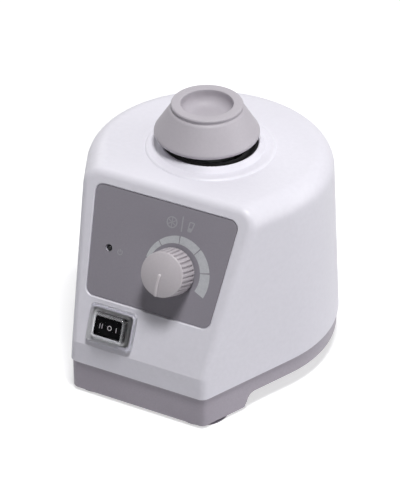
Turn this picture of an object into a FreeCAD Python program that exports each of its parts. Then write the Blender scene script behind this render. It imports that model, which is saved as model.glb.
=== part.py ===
import FreeCAD, Part
import math
import os
import re
import Sketcher
from FreeCAD import Placement, Rotation, Vector

# Vortex mixer, in millimetres: X to the right, Y to the back, Z up, bench at Z = 0.
# The origin lies on the bench under the middle of the mixer's width and length.

# Driving sizes: name, value, what it measures
SIZES = (
    ("body_width", 127.0, "round back of the housing, side to side at the parting line"),
    ("front_reach", 75.4, "motor axis to the flat front at the parting line"),
    ("front_width", 70.6, "flat front between its sharp corners at the parting line"),
    ("motor_axis_y", 6.9, "motor axis behind the middle of the length"),
    ("housing_height", 87.6, "parting line to the flat top"),
    ("wall", 3.0, "housing wall"),
    ("draft", 3.5, "lean of the housing's sides, degrees"),
    ("top_round", 10.0, "round between the top and the sides"),
    ("edge_round", 4.5, "round of the front corners and of the sloping front's edges"),
    ("front_slope", 23.2, "lean of the sloping front from upright, degrees"),
    ("fold_height", 11.0, "parting line to the fold where the front starts to slope"),
    ("opening_radius", 22.7, "opening in the top for the drive"),
    ("collar_radius", 31.0, "foot of the raised collar round the opening"),
    ("collar_rise", 3.2, "height of the collar above the top"),
    ("collar_ring", 0.8, "height of the collar's flat outer ring"),
    ("collar_bend", 25.9, "radius where the collar's ring turns up to its lip"),
    ("collar_lip", 0.6, "round of the collar's inner edge"),
    ("boss_radius", 5.2, "screw boss in the housing and on the tray"),
    ("boss_height", 9.5, "screw boss in the housing, above the parting line"),
    ("boss_inset", 8.0, "middle of a screw boss inside the body's outline"),
    ("front_boss_x", 12.0, "front screw bosses to each side of the middle"),
    ("rear_boss_angle", 70.0, "rear screw bosses round the motor axis from the X axis, degrees"),
    ("foot_drop", 1.3, "rubber foot below the tray"),
    ("tray_height", 16.4, "tray's bottom edge to the parting line"),
    ("tray_inset", 0.8, "tray's outline inside the housing's"),
    ("tray_wall", 3.0, "tray wall"),
    ("tray_floor", 3.0, "tray floor"),
    ("tray_round", 1.0, "round of the tray's bottom edge"),
    ("skirt_step", 7.6, "rise of the side skirts' lower edge"),
    ("skirt_front", 20.8, "front to the start of the skirt's step"),
    ("skirt_rear", 26.0, "back to the start of the rear step"),
    ("skirt_run", 8.4, "length of the skirt's step"),
    ("foot_radius", 12.6, "rubber foot"),
    ("foot_rim", 0.5, "edge of the foot's sole"),
    ("foot_shoulder", 3.3, "foot's rim that lies under the skirt"),
    ("foot_crown", 1.1, "height of the foot inside its rim"),
    ("foot_rise", 3.4, "height of the foot at the tray's boss"),
    ("foot_set", 1.5, "front feet behind the front face"),
    ("foot_boss", 5.0, "tray's boss over a foot"),
    ("foot_stem", 3.0, "radius of the foot's stem in the tray"),
    ("rear_foot_angle", 57.0, "rear feet round the motor axis from the X axis, degrees"),
    ("screw_radius", 2.0, "housing screw"),
    ("screw_head", 3.5, "radius of the housing screw's head"),
    ("screw_head_height", 2.6, "height of the housing screw's head"),
    ("screw_bite", 7.5, "housing screw inside its boss"),
    ("pilot_room", 0.5, "screw's end to the bottom of its hole"),
    ("ballast_thick", 10.0, "steel ballast plate"),
    ("ballast_edge", 10.0, "ballast plate beyond the pillars"),
    ("pillar_x", 34.0, "pillars to each side of the motor axis"),
    ("pillar_y", 31.0, "pillars in front of and behind the motor axis"),
    ("pillar_radius", 5.0, "support pillar"),
    ("stud_radius", 3.0, "pillar's stud through the ballast and the tray"),
    ("stud_nut", 3.0, "height of the stud's nut"),
    ("stud_nut_radius", 5.7, "stud's nut at its corners"),
    ("carriage_drop", 25.3, "housing top to the underside of the carriage plate"),
    ("plate_thick", 3.0, "carriage plate"),
    ("plate_edge", 8.0, "carriage plate beyond the pillars"),
    ("plate_corner", 8.0, "corner radius of the carriage and ballast plates"),
    ("damper_height", 4.0, "rubber damper under the carriage plate"),
    ("damper_radius", 7.0, "rubber damper"),
    ("damper_screw", 2.5, "radius of the damper screw's shank"),
    ("damper_head", 5.0, "radius of the damper screw's head"),
    ("damper_head_height", 4.0, "height of the damper screw's head"),
    ("washer_thick", 1.2, "washer under the damper screw's head"),
    ("thread_depth", 14.0, "damper screw's hole in the pillar"),
    ("thread_end", 1.0, "thread beyond a nut, or short of the bottom of its hole"),
    ("press_room", 0.7, "carriage plate's hole round the damper screw"),
    ("motor_gap", 10.0, "carriage plate to the lamination stack"),
    ("stack_height", 22.0, "lamination stack"),
    ("stack_corner", 2.0, "corners of the stack"),
    ("stator_half", 24.0, "half the width of the stack"),
    ("stator_right", 20.0, "motor axis to the stack's bore end"),
    ("stator_left", 44.0, "motor axis to the stack's coil end"),
    ("limb_width", 10.0, "limb of the stack that the coil sits on"),
    ("window_near", 20.0, "motor axis to the near side of the coil's window"),
    ("window_half", 13.5, "half the width of the coil's window"),
    ("coil_build", 6.0, "winding on the bobbin"),
    ("bobbin_wall", 1.0, "bobbin wall and flanges"),
    ("flange_rise", 0.3, "bobbin's flanges beyond the winding"),
    ("rotor_radius", 12.6, "rotor"),
    ("end_ring", 2.0, "thickness of the rotor's end rings"),
    ("end_ring_inset", 1.0, "end rings inside the rotor's radius"),
    ("air_gap", 0.4, "rotor to stack"),
    ("shaft_radius", 4.0, "motor shaft"),
    ("bush_radius", 6.5, "outside of the shaft's bushes"),
    ("bush_length", 8.0, "length of the shaft's bushes"),
    ("bush_gap", 2.8, "stack to the shaft's bushes"),
    ("shaft_end", 1.0, "shaft beyond the lower bush"),
    ("bracket_boss", 9.0, "bearing boss of the motor's brackets"),
    ("bracket_bar", 4.0, "bar of the motor's brackets"),
    ("bracket_span", 14.0, "width of the brackets' bar"),
    ("bracket_post", 4.5, "radius of the brackets' posts"),
    ("boss_room", 1.0, "carriage plate round the upper bracket's boss"),
    ("bolt_radius", 2.0, "motor bolt"),
    ("bolt_y", 19.5, "motor bolts from the motor axis"),
    ("bolt_head", 3.5, "radius of the motor bolt's head"),
    ("bolt_head_height", 2.5, "height of the motor bolt's head"),
    ("bolt_nut", 3.2, "height of the motor bolt's nut"),
    ("bolt_nut_radius", 4.0, "motor bolt's nut at its corners"),
    ("throw", 2.0, "eccentric pin from the motor axis"),
    ("hub_radius", 10.0, "eccentric hub"),
    ("hub_gap", 1.5, "hub above the carriage plate"),
    ("hub_roof", 3.0, "shaft's end to the top of the hub"),
    ("grub_radius", 1.5, "hub's set screw"),
    ("grub_level", 2.0, "set screw above the hub's underside"),
    ("weight_radius", 20.0, "balance weight on the hub"),
    ("weight_height", 7.0, "thickness of the balance weight"),
    ("weight_drop", 0.5, "top of the hub to the weight's"),
    ("bearing_drop", 8.8, "housing top to the underside of the bearing"),
    ("bearing_bore", 4.0, "radius of the bearing's bore"),
    ("bearing_radius", 11.0, "outside radius of the bearing"),
    ("bearing_width", 7.0, "width of the bearing"),
    ("shoulder_height", 0.5, "top of the hub to the bearing"),
    ("shoulder_width", 1.5, "pin's shoulder under the inner ring"),
    ("pin_short", 0.3, "pin's end below the top of the bearing"),
    ("clamp_screw", 1.5, "radius of the screw that clamps the bearing"),
    ("clamp_head", 3.0, "radius of the clamp screw's head"),
    ("clamp_head_height", 1.8, "height of the clamp screw's head"),
    ("clamp_washer", 0.8, "thickness of the clamp washer"),
    ("ball_count", 7, "balls in the bearing"),
    ("race_bite", 0.4, "depth of the bearing's races"),
    ("ball_radius", 1.9, "bearing ball"),
    ("ball_room", 0.06, "race round the ball"),
    ("cage_rim", 0.4, "cage above and below the balls"),
    ("cage_half", 0.6, "half the cage's wall"),
    ("seat_fit", 0.01, "bearing's seats, radial"),
    ("carrier_wall", 3.0, "cup carrier round the bearing"),
    ("carrier_room", 3.4, "room above the bearing"),
    ("roof_lap", 0.6, "carrier's roof over the outer ring"),
    ("shield_ledge", 2.0, "carrier's ledge under the drip shield"),
    ("post_radius", 9.0, "post inside the rubber cup"),
    ("post_height", 7.6, "height of the post above the drip shield"),
    ("shield_lift", 5.1, "housing top to the underside of the drip shield"),
    ("shield_thick", 1.5, "drip shield"),
    ("shield_radius", 20.0, "drip shield"),
    ("gasket_room", 1.4, "opening gasket round the carrier's orbit"),
    ("gasket_drop", 1.3, "collar's top to the gasket's"),
    ("gasket_flange", 3.0, "gasket's flange beyond the opening"),
    ("gasket_thick", 2.0, "gasket's flange"),
    ("gasket_rim", 1.2, "gasket's rims"),
    ("gasket_gutter", 2.0, "depth of the gasket's gutter"),
    ("gasket_step", 0.3, "gasket's outer rim above its inner one"),
    ("cup_height", 16.7, "rubber cup"),
    ("cup_radius", 25.0, "rubber cup at its widest"),
    ("cup_edge", 1.5, "round of the cup's lower edge"),
    ("cup_top_radius", 16.9, "rubber cup at its top"),
    ("cup_lip", 0.6, "rounds of the cup's top ring"),
    ("recess_radius", 12.3, "recess in the cup"),
    ("recess_wall", 2.6, "depth of the recess's straight side"),
    ("recess_depth", 6.6, "depth of the recess in its middle"),
    ("panel_bottom", 24.2, "fold to the panel's lower edge, along the slope"),
    ("panel_height", 52.6, "panel along the slope"),
    ("panel_bottom_width", 64.2, "panel at its lower edge"),
    ("panel_top_width", 74.1, "panel at its upper edge"),
    ("panel_corner", 4.0, "panel corner"),
    ("panel_sink", 1.1, "recess for the panel film"),
    ("panel_bevel", 0.5, "bevel round the edge of the recess"),
    ("panel_film", 0.6, "thickness of the panel film"),
    ("panel_gap", 0.3, "recess round the panel film"),
    ("knob_x", 9.6, "knob from the middle"),
    ("knob_up", 46.3, "knob above the fold, along the slope"),
    ("knob_radius", 11.3, "knob at its foot"),
    ("knob_face", 10.7, "knob at the edge of its face"),
    ("knob_gap", 1.0, "front face to the knob's foot"),
    ("knob_skirt", 11.2, "ribbed side of the knob"),
    ("knob_dome", 2.3, "rise of the knob's face"),
    ("knob_wall", 2.0, "knob wall"),
    ("hub_room", 0.8, "bushing to the knob's hub"),
    ("hub_wall", 2.2, "knob's hub round the shaft"),
    ("rib_count", 30, "grooves round the knob"),
    ("rib_groove", 0.9, "radius of a groove between ribs"),
    ("groove_out", 0.05, "middle of a groove outside the knob's foot"),
    ("groove_stop", 1.0, "grooves' end to the edge of the face"),
    ("pointer_width", 1.3, "pointer rib on the knob's face"),
    ("pointer_start", 0.6, "knob's axis to the start of the pointer"),
    ("pointer_over", 0.1, "pointer's end beyond the edge of the face"),
    ("pointer_rise", 0.5, "pointer above the top of the dome"),
    ("pointer_end", 0.9, "pointer's end above the edge of the face"),
    ("pot_radius", 8.25, "potentiometer"),
    ("pot_depth", 9.0, "potentiometer behind the wall"),
    ("bushing_wall", 0.5, "potentiometer's threaded bushing round its shaft"),
    ("bushing_reach", 2.6, "bushing in front of the face"),
    ("pot_shaft_radius", 3.0, "potentiometer's shaft"),
    ("pot_shaft_reach", 11.0, "shaft in front of the face"),
    ("pot_nut_wall", 2.3, "potentiometer's nut round the bushing, at its corners"),
    ("pot_nut_height", 2.0, "potentiometer's nut"),
    ("led_x", -24.9, "indicator from the middle"),
    ("led_up", 48.2, "indicator above the fold, along the slope"),
    ("led_radius", 1.5, "indicator lamp"),
    ("led_hole", 1.8, "hole for the indicator"),
    ("led_sink", 0.9, "lamp's tip below the face"),
    ("led_foot", 2.5, "wall to the lamp's foot"),
    ("led_flange", 1.9, "radius of the lamp's foot"),
    ("led_flange_thick", 1.0, "lamp's foot"),
    ("spacer_bore", 1.0, "bore of the lamp's spacer"),
    ("spacer_radius", 2.5, "lamp's spacer"),
    ("switch_x", -15.4, "switch from the middle"),
    ("switch_up", 12.3, "switch above the fold, along the slope"),
    ("bezel_length", 21.0, "switch bezel across the front"),
    ("bezel_width", 15.0, "switch bezel up the slope"),
    ("bezel_thick", 2.0, "switch bezel"),
    ("bezel_corner", 1.5, "corners of the switch bezel"),
    ("switch_length", 18.8, "switch body in the wall"),
    ("switch_width", 12.6, "switch body in the wall"),
    ("switch_depth", 14.0, "switch body behind the face"),
    ("blade_thick", 0.8, "switch's terminals"),
    ("blade_width", 4.8, "switch's terminals"),
    ("blade_length", 8.0, "switch's terminals behind its body"),
    ("blade_pitch", 6.3, "switch's terminals"),
    ("rocker_length", 14.4, "rocker across the front"),
    ("rocker_width", 9.2, "rocker up the slope"),
    ("rocker_room", 0.7, "switch body round the rocker"),
    ("rocker_rise", 3.6, "rocker's ends in front of the face"),
    ("rocker_dip", 0.6, "rocker's middle below its ends"),
    ("rocker_pivot", 0.5, "rocker's pivot behind the face"),
    ("rocker_pin", 1.0, "radius of the rocker's pivot pins"),
    ("pin_bite", 0.6, "pivot pins in the switch body, at each end"),
    ("rocker_edge", 0.8, "rocker's ends in front of the face, at their lower edge"),
    ("rocker_keel", 2.6, "pivot to the rocker's underside"),
    ("rocker_heel", 2.9, "half the length of the rocker's underside"),
    ("boot_length", 24.0, "boot's flange across the front"),
    ("boot_width", 18.4, "boot's flange up the slope"),
    ("boot_flange", 2.4, "thickness of the boot's flange"),
    ("boot_roof_length", 17.2, "boot's roof across the front"),
    ("boot_roof_width", 11.6, "boot's roof up the slope"),
    ("boot_rise", 5.8, "boot's roof in front of the face"),
    ("boot_wall", 0.7, "boot wall"),
    ("boot_round", 1.8, "boot's corners"),
    ("boot_lean", 36.0, "lean of the boot's sides, degrees"),
    ("board_x", -3.0, "control board from the middle"),
    ("board_up", 44.5, "control board above the fold, along the slope"),
    ("board_length", 54.0, "control board across the front"),
    ("board_width", 26.0, "control board up the slope"),
    ("board_thick", 1.6, "control board"),
    ("board_corner", 1.0, "corners of the control board"),
    ("board_margin", 3.0, "board's edge to its standoffs"),
    ("standoff_radius", 2.5, "board standoff"),
    ("board_screw", 1.5, "board screw"),
    ("fixing_head", 2.6, "radius of a board screw's head"),
    ("fixing_head_height", 1.6, "height of a board screw's head"),
    ("can_radius", 4.0, "filter capacitor"),
    ("can_height", 11.0, "filter capacitor"),
    ("can_x", -5.0, "capacitors from the middle of the board"),
    ("can_pitch", 5.0, "capacitors to each side of the middle"),
    ("sink_x", 10.0, "heat sink from the middle of the board"),
    ("sink_length", 20.0, "heat sink"),
    ("sink_thick", 2.0, "heat sink's plate"),
    ("sink_height", 12.0, "heat sink"),
    ("fin_thick", 1.2, "heat sink's fins"),
    ("fin_depth", 6.0, "heat sink's fins"),
    ("fin_pitch", 4.4, "heat sink's fins"),
    ("triac_width", 10.0, "triac"),
    ("triac_thick", 4.4, "triac"),
    ("triac_height", 11.0, "triac"),
    ("terminal_x", -17.0, "terminal block from the middle of the board"),
    ("terminal_length", 10.0, "terminal block"),
    ("terminal_width", 14.0, "terminal block"),
    ("terminal_height", 10.0, "terminal block"),
    ("inlet_level", 42.0, "middle of the power inlet above the bench"),
    ("inlet_sink", 5.5, "back to the inlet's flat seat"),
    ("inlet_margin", 3.0, "flat seat round the inlet's flange"),
    ("inlet_block", 4.5, "wall behind the inlet's flange"),
    ("seat_rim", 2.0, "wall behind the inlet's seat beyond the seat"),
    ("flange_length", 31.0, "inlet's flange"),
    ("flange_width", 24.0, "inlet's flange"),
    ("flange_thick", 2.5, "inlet's flange"),
    ("flange_corner", 2.0, "corners of the inlet's flange"),
    ("inlet_length", 26.8, "inlet's body"),
    ("inlet_width", 19.8, "inlet's body"),
    ("inlet_depth", 18.0, "inlet's body behind its flange"),
    ("socket_length", 24.4, "inlet's socket"),
    ("socket_width", 16.4, "inlet's socket"),
    ("socket_corner", 4.5, "cut corners of the socket"),
    ("socket_depth", 14.0, "socket behind the flange"),
    ("pin_pitch", 7.0, "outer inlet pins to each side of the middle"),
    ("pin_offset", 2.0, "rows of inlet pins from the socket's middle"),
    ("pin_thick", 2.0, "inlet pin"),
    ("pin_width", 4.0, "inlet pin"),
    ("pin_sink", 1.0, "inlet pins' ends below the flange's seat"),
    ("tab_length", 7.0, "inlet pins behind the inlet's body"),
    ("touch_x", 38.8, "touch switch from the motor axis"),
    ("touch_length", 20.0, "touch switch"),
    ("touch_thick", 6.4, "touch switch"),
    ("touch_height", 10.0, "touch switch"),
    ("touch_gap", 2.6, "carriage plate to the touch switch"),
    ("touch_screw", 1.1, "touch switch's screws"),
    ("touch_screw_head", 2.2, "radius of the touch switch's screw heads"),
    ("touch_head_height", 1.4, "height of the touch switch's screw heads"),
    ("touch_screw_level", 2.8, "touch switch's screws above its underside"),
    ("touch_screw_pitch", 5.0, "touch switch's screws to each side of its middle"),
    ("plunger_thick", 1.6, "touch switch's plunger"),
    ("plunger_width", 3.0, "touch switch's plunger"),
    ("plunger_well", 4.5, "depth of the plunger's well"),
    ("plunger_room", 2.0, "plunger's end to the bottom of its well"),
    ("sheet_metal", 1.5, "touch switch's bracket"),
    ("bracket_edge", 1.0, "bracket beyond the touch switch at each end"),
    ("bracket_short", 1.0, "bracket's top below the touch switch's"),
    ("bracket_toe", 2.0, "bracket's foot beyond the touch switch"),
    ("bracket_screw", 1.5, "bracket's screws"),
    ("bracket_screw_in", 2.0, "bracket's screws from the switch's middle"),
    ("bracket_screw_head", 2.6, "radius of the bracket's screw heads"),
    ("bracket_head_height", 1.8, "height of the bracket's screw heads"),
    ("fit", 0.05, "running and slip fits, radial"),
    ("slack", 0.2, "loose clearance between pieces"),
    ("spare", 1.0, "length of a cut beyond the wall that it goes through"),
)
NAMES = {name for name, number, meaning in SIZES}

# Places worked out from the driving sizes
RADIUS = "(body_width / 2)"
FRONT = "(motor_axis_y - front_reach)"
BACK = f"(motor_axis_y + {RADIUS})"
SIDE_ANGLE = f"(atan2(front_reach; front_width / 2) - acos({RADIUS} / hypot(front_reach; front_width / 2)))"
TRAY_FLOOR = "(foot_drop + skirt_step + tray_floor)"
PARTING = "(foot_drop + tray_height)"
TOP = f"({PARTING} + housing_height)"
BALLAST_TOP = f"({TRAY_FLOOR} + ballast_thick)"
PLATE = f"({TOP} - carriage_drop)"
PLATE_TOP = f"({PLATE} + plate_thick)"
STACK_TOP = f"({PLATE} - motor_gap)"
STACK_FOOT = f"({STACK_TOP} - stack_height)"
BEARING = f"({TOP} - bearing_drop)"
BEARING_TOP = f"({BEARING} + bearing_width)"
PIN_X = "(-throw)"
SHIELD = f"({TOP} + shield_lift)"
CUP = f"({SHIELD} + shield_thick)"
CUP_TOP = f"({CUP} + cup_height)"
COLLAR_TOP = f"({TOP} + collar_rise)"
FOLD_Y = f"({FRONT} + fold_height * tan(draft))"
FOLD_Z = f"({PARTING} + fold_height)"
INLET_Y = f"({BACK} - inlet_sink)"
BUSHING = "(pot_shaft_radius + bushing_wall)"

SIDES = (1, -1)

doc = FreeCAD.newDocument("vortex_mixer")
sheet = doc.addObject("Spreadsheet::Sheet", "sizes")
for row, (name, number, meaning) in enumerate(SIZES, start=1):
    sheet.set(f"A{row}", name)
    sheet.set(f"B{row}", str(number))
    sheet.setAlias(f"B{row}", name)
    sheet.set(f"C{row}", meaning)
doc.recompute()

nodes = []


def linked(formula):
    """The formula with each size name pointing at the sheet."""
    return re.sub(r"[a-z_]\w*", lambda word: "sizes." * (word[0] in NAMES) + word[0], str(formula))


def value(formula):
    """The number that a formula has at the sheet's present sizes."""
    result = sheet.evalExpression(str(formula))
    return float(getattr(result, "Value", result))


def bind(item, **formulas):
    """Ties properties of an object to formulas of the sheet's sizes."""
    for key, formula in formulas.items():
        item.setExpression(key, linked(formula))
    return item


def node(item, label):
    """Names a finished piece, which is then written to a file of that name."""
    item.Label = label
    nodes.append(item)
    return item


def place(item, x="0", y="0", z="0"):
    """Moves an object to a point given by formulas."""
    for axis, formula in zip("xyz", (x, y, z)):
        item.setExpression(f"Placement.Base.{axis}", linked(formula))
    return item


def place_on_front(item, across="0", up="0", lift="0"):
    """Lays an object on the sloping front: its X runs across, its Y up the slope and its Z outwards."""
    item.Placement = Placement(Vector(), Rotation(Vector(1, 0, 0), 90))
    item.setExpression("Placement.Rotation.Angle", linked("90 - front_slope"))
    along = f"{FOLD_Y} + ({up}) * sin(front_slope) - ({lift}) * cos(front_slope)"
    height = f"{FOLD_Z} + ({up}) * cos(front_slope) + ({lift}) * sin(front_slope)"
    return place(item, across, along, height)


def place_at_back(item):
    """Turns an object to the back's flat seat: its X runs across, its Y down and its Z outwards."""
    item.Placement = Placement(Vector(), Rotation(Vector(1, 0, 0), -90))
    return place(item, "0", INLET_Y, "inlet_level")


def new_body(label):
    return doc.addObject("PartDesign::Body", label)


def new_sketch(body, plane, level="0"):
    """An empty sketch on one of the body's own origin planes, moved along that plane's normal."""
    sketch = body.newObject("Sketcher::SketchObject", "outline")
    sketch.AttachmentSupport = (next(item for item in body.Origin.OriginFeatures if item.Role == plane), "")
    sketch.MapMode = "FlatFace"
    sketch.setExpression("AttachmentOffset.Base.z", linked(level))
    return sketch


def pin_down(sketch, kind, formula, *target):
    """Adds a dimension to a sketch and ties it to the sheet."""
    number = sketch.addConstraint(Sketcher.Constraint(kind, *target, value(formula)))
    sketch.setExpression(f"Constraints[{number}]", linked(formula))


def arc_between(start, end, radius, turn):
    """The arc of less than a half circle from start to end: left for turn 1, right for -1."""
    chord = end - start
    rise = math.sqrt(max(radius * radius - chord.Length ** 2 / 4, 0))
    centre = (start + end) / 2 + Vector(-chord.y, chord.x, 0) / chord.Length * rise * turn
    angles = [math.atan2(point.y - centre.y, point.x - centre.x) for point in (start, end)]
    return Part.ArcOfCircle(Part.Circle(centre, Vector(0, 0, 1), radius), *angles[::turn])


def draw(body, plane, points, level="0"):
    """A closed outline. A point is two formulas, and an arc to a point adds its radius and its turn."""
    sketch = new_sketch(body, plane, level)
    places = [Vector(value(point[0]), value(point[1]), 0) for point in points]
    ends = []
    for index, point in enumerate(points):
        start, end = places[index - 1], places[index]
        if len(point) == 2:
            line = sketch.addGeometry(Part.LineSegment(start, end))
            ends.append((line, 1, 2))
            continue
        radius, turn = point[2:]
        arc = sketch.addGeometry(arc_between(start, end, value(radius), turn))
        pin_down(sketch, "Radius", radius, arc)
        ends.append((arc, 1, 2) if turn > 0 else (arc, 2, 1))
    for index, (here, first, last) in enumerate(ends):
        after, start, end = ends[(index + 1) % len(ends)]
        sketch.addConstraint(Sketcher.Constraint("Coincident", here, last, after, start))
        for kind, formula in zip(("DistanceX", "DistanceY"), points[index]):
            pin_down(sketch, kind, formula, -1, 1, here, last)
    return sketch


def rings(body, level, spots, radius):
    """A sketch of equal circles at the given spots."""
    sketch = new_sketch(body, "XY_Plane", level)
    for x, y in spots:
        centre = Vector(value(x), value(y), 0)
        circle = sketch.addGeometry(Part.Circle(centre, Vector(0, 0, 1), value(radius)))
        pin_down(sketch, "Radius", radius, circle)
        pin_down(sketch, "DistanceX", x, -1, 1, circle, 3)
        pin_down(sketch, "DistanceY", y, -1, 1, circle, 3)
    return sketch


def rectangle(length, width, x="0", y="0"):
    """Corner formulas of a rectangle round a middle point."""
    return [(f"({x}) + {i} * ({length}) / 2", f"({y}) + {j} * ({width}) / 2")
            for i, j in ((1, -1), (1, 1), (-1, 1), (-1, -1))]


def pad(body, sketch, length, **formulas):
    """Raises a sketch by a length along its normal."""
    feature = body.newObject("PartDesign::Pad", "pad")
    feature.Profile = sketch
    bind(feature, Length=length, **formulas)
    doc.recompute()
    return feature


def pocket(body, sketch, depth=None, reverse=False):
    """Cuts a sketch into its body: to a depth against its normal, or right through both ways."""
    before = body.Tip.Shape.Volume
    feature = body.newObject("PartDesign::Pocket", "pocket")
    feature.Profile = sketch
    feature.Reversed = reverse
    if depth is None:
        feature.Type = "ThroughAll"
        feature.SideType = "Symmetric"
    else:
        bind(feature, Length=depth)
    doc.recompute()
    if feature.Shape.Volume > before - 1e-6:
        raise RuntimeError(f"{body.Label}: a pocket cuts nothing")
    return feature


def soften(body, radius, wanted, kind="Fillet"):
    """Rounds or chamfers the edges of a body that wanted accepts."""
    base = body.Tip
    names = [f"Edge{index}" for index, edge in enumerate(base.Shape.Edges, start=1) if wanted(edge)]
    feature = body.newObject(f"PartDesign::{kind}", "soft")
    feature.Base = (base, names)
    bind(feature, **{"Radius" if kind == "Fillet" else "Size": radius})
    doc.recompute()
    return feature


def middle(edge):
    return edge.valueAt((edge.FirstParameter + edge.LastParameter) / 2)


def upright(edge):
    """Whether an edge runs straight up."""
    start, end = edge.Vertexes[0].Point, edge.Vertexes[-1].Point
    return abs(start.z - end.z) > 1e-6 and Vector(start.x - end.x, start.y - end.y, 0).Length < 1e-6


def level_with(formula):
    """Whether an edge lies level at a height."""
    height = value(formula)
    return lambda edge: abs(edge.BoundBox.ZMin - height) < 1e-4 and abs(edge.BoundBox.ZMax - height) < 1e-4


def prism(label, outline, height, corner=None, level="0"):
    """A piece of one outline, raised from a level, with its upright edges rounded."""
    body = new_body(label)
    pad(body, draw(body, "XY_Plane", outline, level), height)
    if corner:
        soften(body, corner, upright)
    return body


def turned(label, profile, x="0", y="motor_axis_y", z="0"):
    """A piece turned round its Z axis from a profile of radius and height."""
    body = new_body(label)
    sketch = draw(body, "XZ_Plane", profile)
    turn = body.newObject("PartDesign::Revolution", "turn")
    turn.Profile = sketch
    turn.ReferenceAxis = (sketch, ["V_Axis"])
    turn.Angle = 360
    doc.recompute()
    return place(body, x, y, z)


def tube(label, inner, outer, height, x="0", y="motor_axis_y", z="0"):
    """A turned ring."""
    return turned(label, [(inner, "0"), (outer, "0"), (outer, height), (inner, height)], x, y, z)


def cylinder(radius, height, x="0", y="0", z="0"):
    item = bind(doc.addObject("Part::Cylinder", "cylinder"), Radius=radius, Height=height)
    return place(item, x, y, z)


def block(length, width, height, x="0", y="0", z="0"):
    """A box whose middle stands on a point."""
    item = bind(doc.addObject("Part::Box", "block"), Length=length, Width=width, Height=height)
    return place(item, f"({x}) - ({length}) / 2", f"({y}) - ({width}) / 2", z)


def hexagon(radius, height, x="0", y="0", z="0"):
    item = bind(doc.addObject("Part::Prism", "hexagon"), Circumradius=radius, Height=height)
    item.Polygon = 6
    return place(item, x, y, z)


def cut(base, tool):
    item = doc.addObject("Part::Cut", "cut")
    item.Base, item.Tool = base, tool
    doc.recompute()
    return item


def common(base, tool):
    item = doc.addObject("Part::Common", "common")
    item.Base, item.Tool = base, tool
    return item


def fuse(*items):
    item = doc.addObject("Part::MultiFuse", "fusion")
    item.Shapes = list(items)
    item.Refine = True
    return item


def group(*items):
    """Equal pieces that share a node."""
    item = doc.addObject("Part::Compound", "group")
    item.Links = list(items)
    return item


def screw(shank, length, head, head_height, x="0", y="0", z="0", points_up=True):
    """A pan-head screw whose head's inner face lies at z."""
    way = 1 if points_up else -1
    profile = [("0", f"{-way} * ({head_height})"), (head, f"{-way} * ({head_height})"), (head, "0"),
               (shank, "0"), (shank, f"{way} * ({length})"), ("0", f"{way} * ({length})")]
    return turned("screw", profile, x, y, z)


def body_outline(body, inset, level):
    """The plan of the body: a round back, sides tangent to it and a flat front, moved in by inset."""
    radius = f"({RADIUS} - ({inset}))"
    corner_x = f"(front_width / 2 + ({inset}) * (tan({SIDE_ANGLE}) - 1 / cos({SIDE_ANGLE})))"
    corner_y = f"({FRONT} + ({inset}))"
    sketch = new_sketch(body, "XY_Plane", level)
    size, x, y = value(radius), value(corner_x), value(corner_y)
    angle = math.radians(-value(SIDE_ANGLE))
    centre = Vector(0, value("motor_axis_y"), 0)
    touch = centre + Vector(math.cos(angle), math.sin(angle), 0) * size
    across = Vector(-touch.x, touch.y, 0)
    circle = Part.Circle(centre, Vector(0, 0, 1), size)
    back = sketch.addGeometry(Part.ArcOfCircle(circle, angle, math.pi - angle))
    left = sketch.addGeometry(Part.LineSegment(across, Vector(-x, y, 0)))
    front = sketch.addGeometry(Part.LineSegment(Vector(-x, y, 0), Vector(x, y, 0)))
    right = sketch.addGeometry(Part.LineSegment(Vector(x, y, 0), touch))
    for kind, *ends in (("Tangent", back, 2, left, 1), ("Coincident", left, 2, front, 1),
                        ("Coincident", front, 2, right, 1), ("Tangent", right, 2, back, 1)):
        sketch.addConstraint(Sketcher.Constraint(kind, *ends))
    pin_down(sketch, "Radius", radius, back)
    pin_down(sketch, "DistanceX", "0", -1, 1, back, 3)
    pin_down(sketch, "DistanceY", "motor_axis_y", -1, 1, back, 3)
    for end, side in ((1, "-1"), (2, "1")):
        pin_down(sketch, "DistanceX", f"{side} * {corner_x}", -1, 1, front, end)
        pin_down(sketch, "DistanceY", corner_y, -1, 1, front, end)
    return sketch


def body_form(label, inset):
    """The housing's outside form, moved in by inset: drafted sides, rounded top, sloping front."""
    body = new_body(label)
    height = f"(housing_height - ({inset}))"
    pad(body, body_outline(body, inset, PARTING), height, TaperAngle="-draft")
    top = level_with(f"{PARTING} + {height}")
    behind_front = value(FOLD_Y) + value("edge_round")
    soften(body, f"top_round - ({inset})", lambda edge: top(edge) and middle(edge).y > behind_front)
    shift = f"({inset}) / cos(front_slope)"
    far = f"({FRONT} - housing_height)"
    rise = "(housing_height * 2)"
    slope_top = f"{FOLD_Y} + {shift} + {rise} * tan(front_slope)"
    slope_foot = f"{FOLD_Y} + {shift} - fold_height * tan(front_slope)"
    pocket(body, draw(body, "YZ_Plane", [(far, PARTING), (slope_foot, PARTING),
                                         (slope_top, f"{FOLD_Z} + {rise}"), (far, f"{FOLD_Z} + {rise}")]))
    lean = math.radians(value("front_slope"))
    outwards = Vector(0, -math.cos(lean), math.sin(lean))
    slope = next(face for face in body.Tip.Shape.Faces if face.normalAt(0, 0).dot(outwards) > 0.9999)
    fold = value(FOLD_Z) + value("slack")

    def on_front(edge):
        point = middle(edge)
        if any(edge.isSame(other) for other in slope.Edges):
            return point.z > fold
        ends = [vertex.Point for vertex in edge.Vertexes]
        return max(end.y for end in ends) < behind_front and abs(ends[0].z - ends[-1].z) > value("slack")

    soften(body, f"edge_round - ({inset}) * edge_round / (edge_round + wall)", on_front)
    return body


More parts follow.
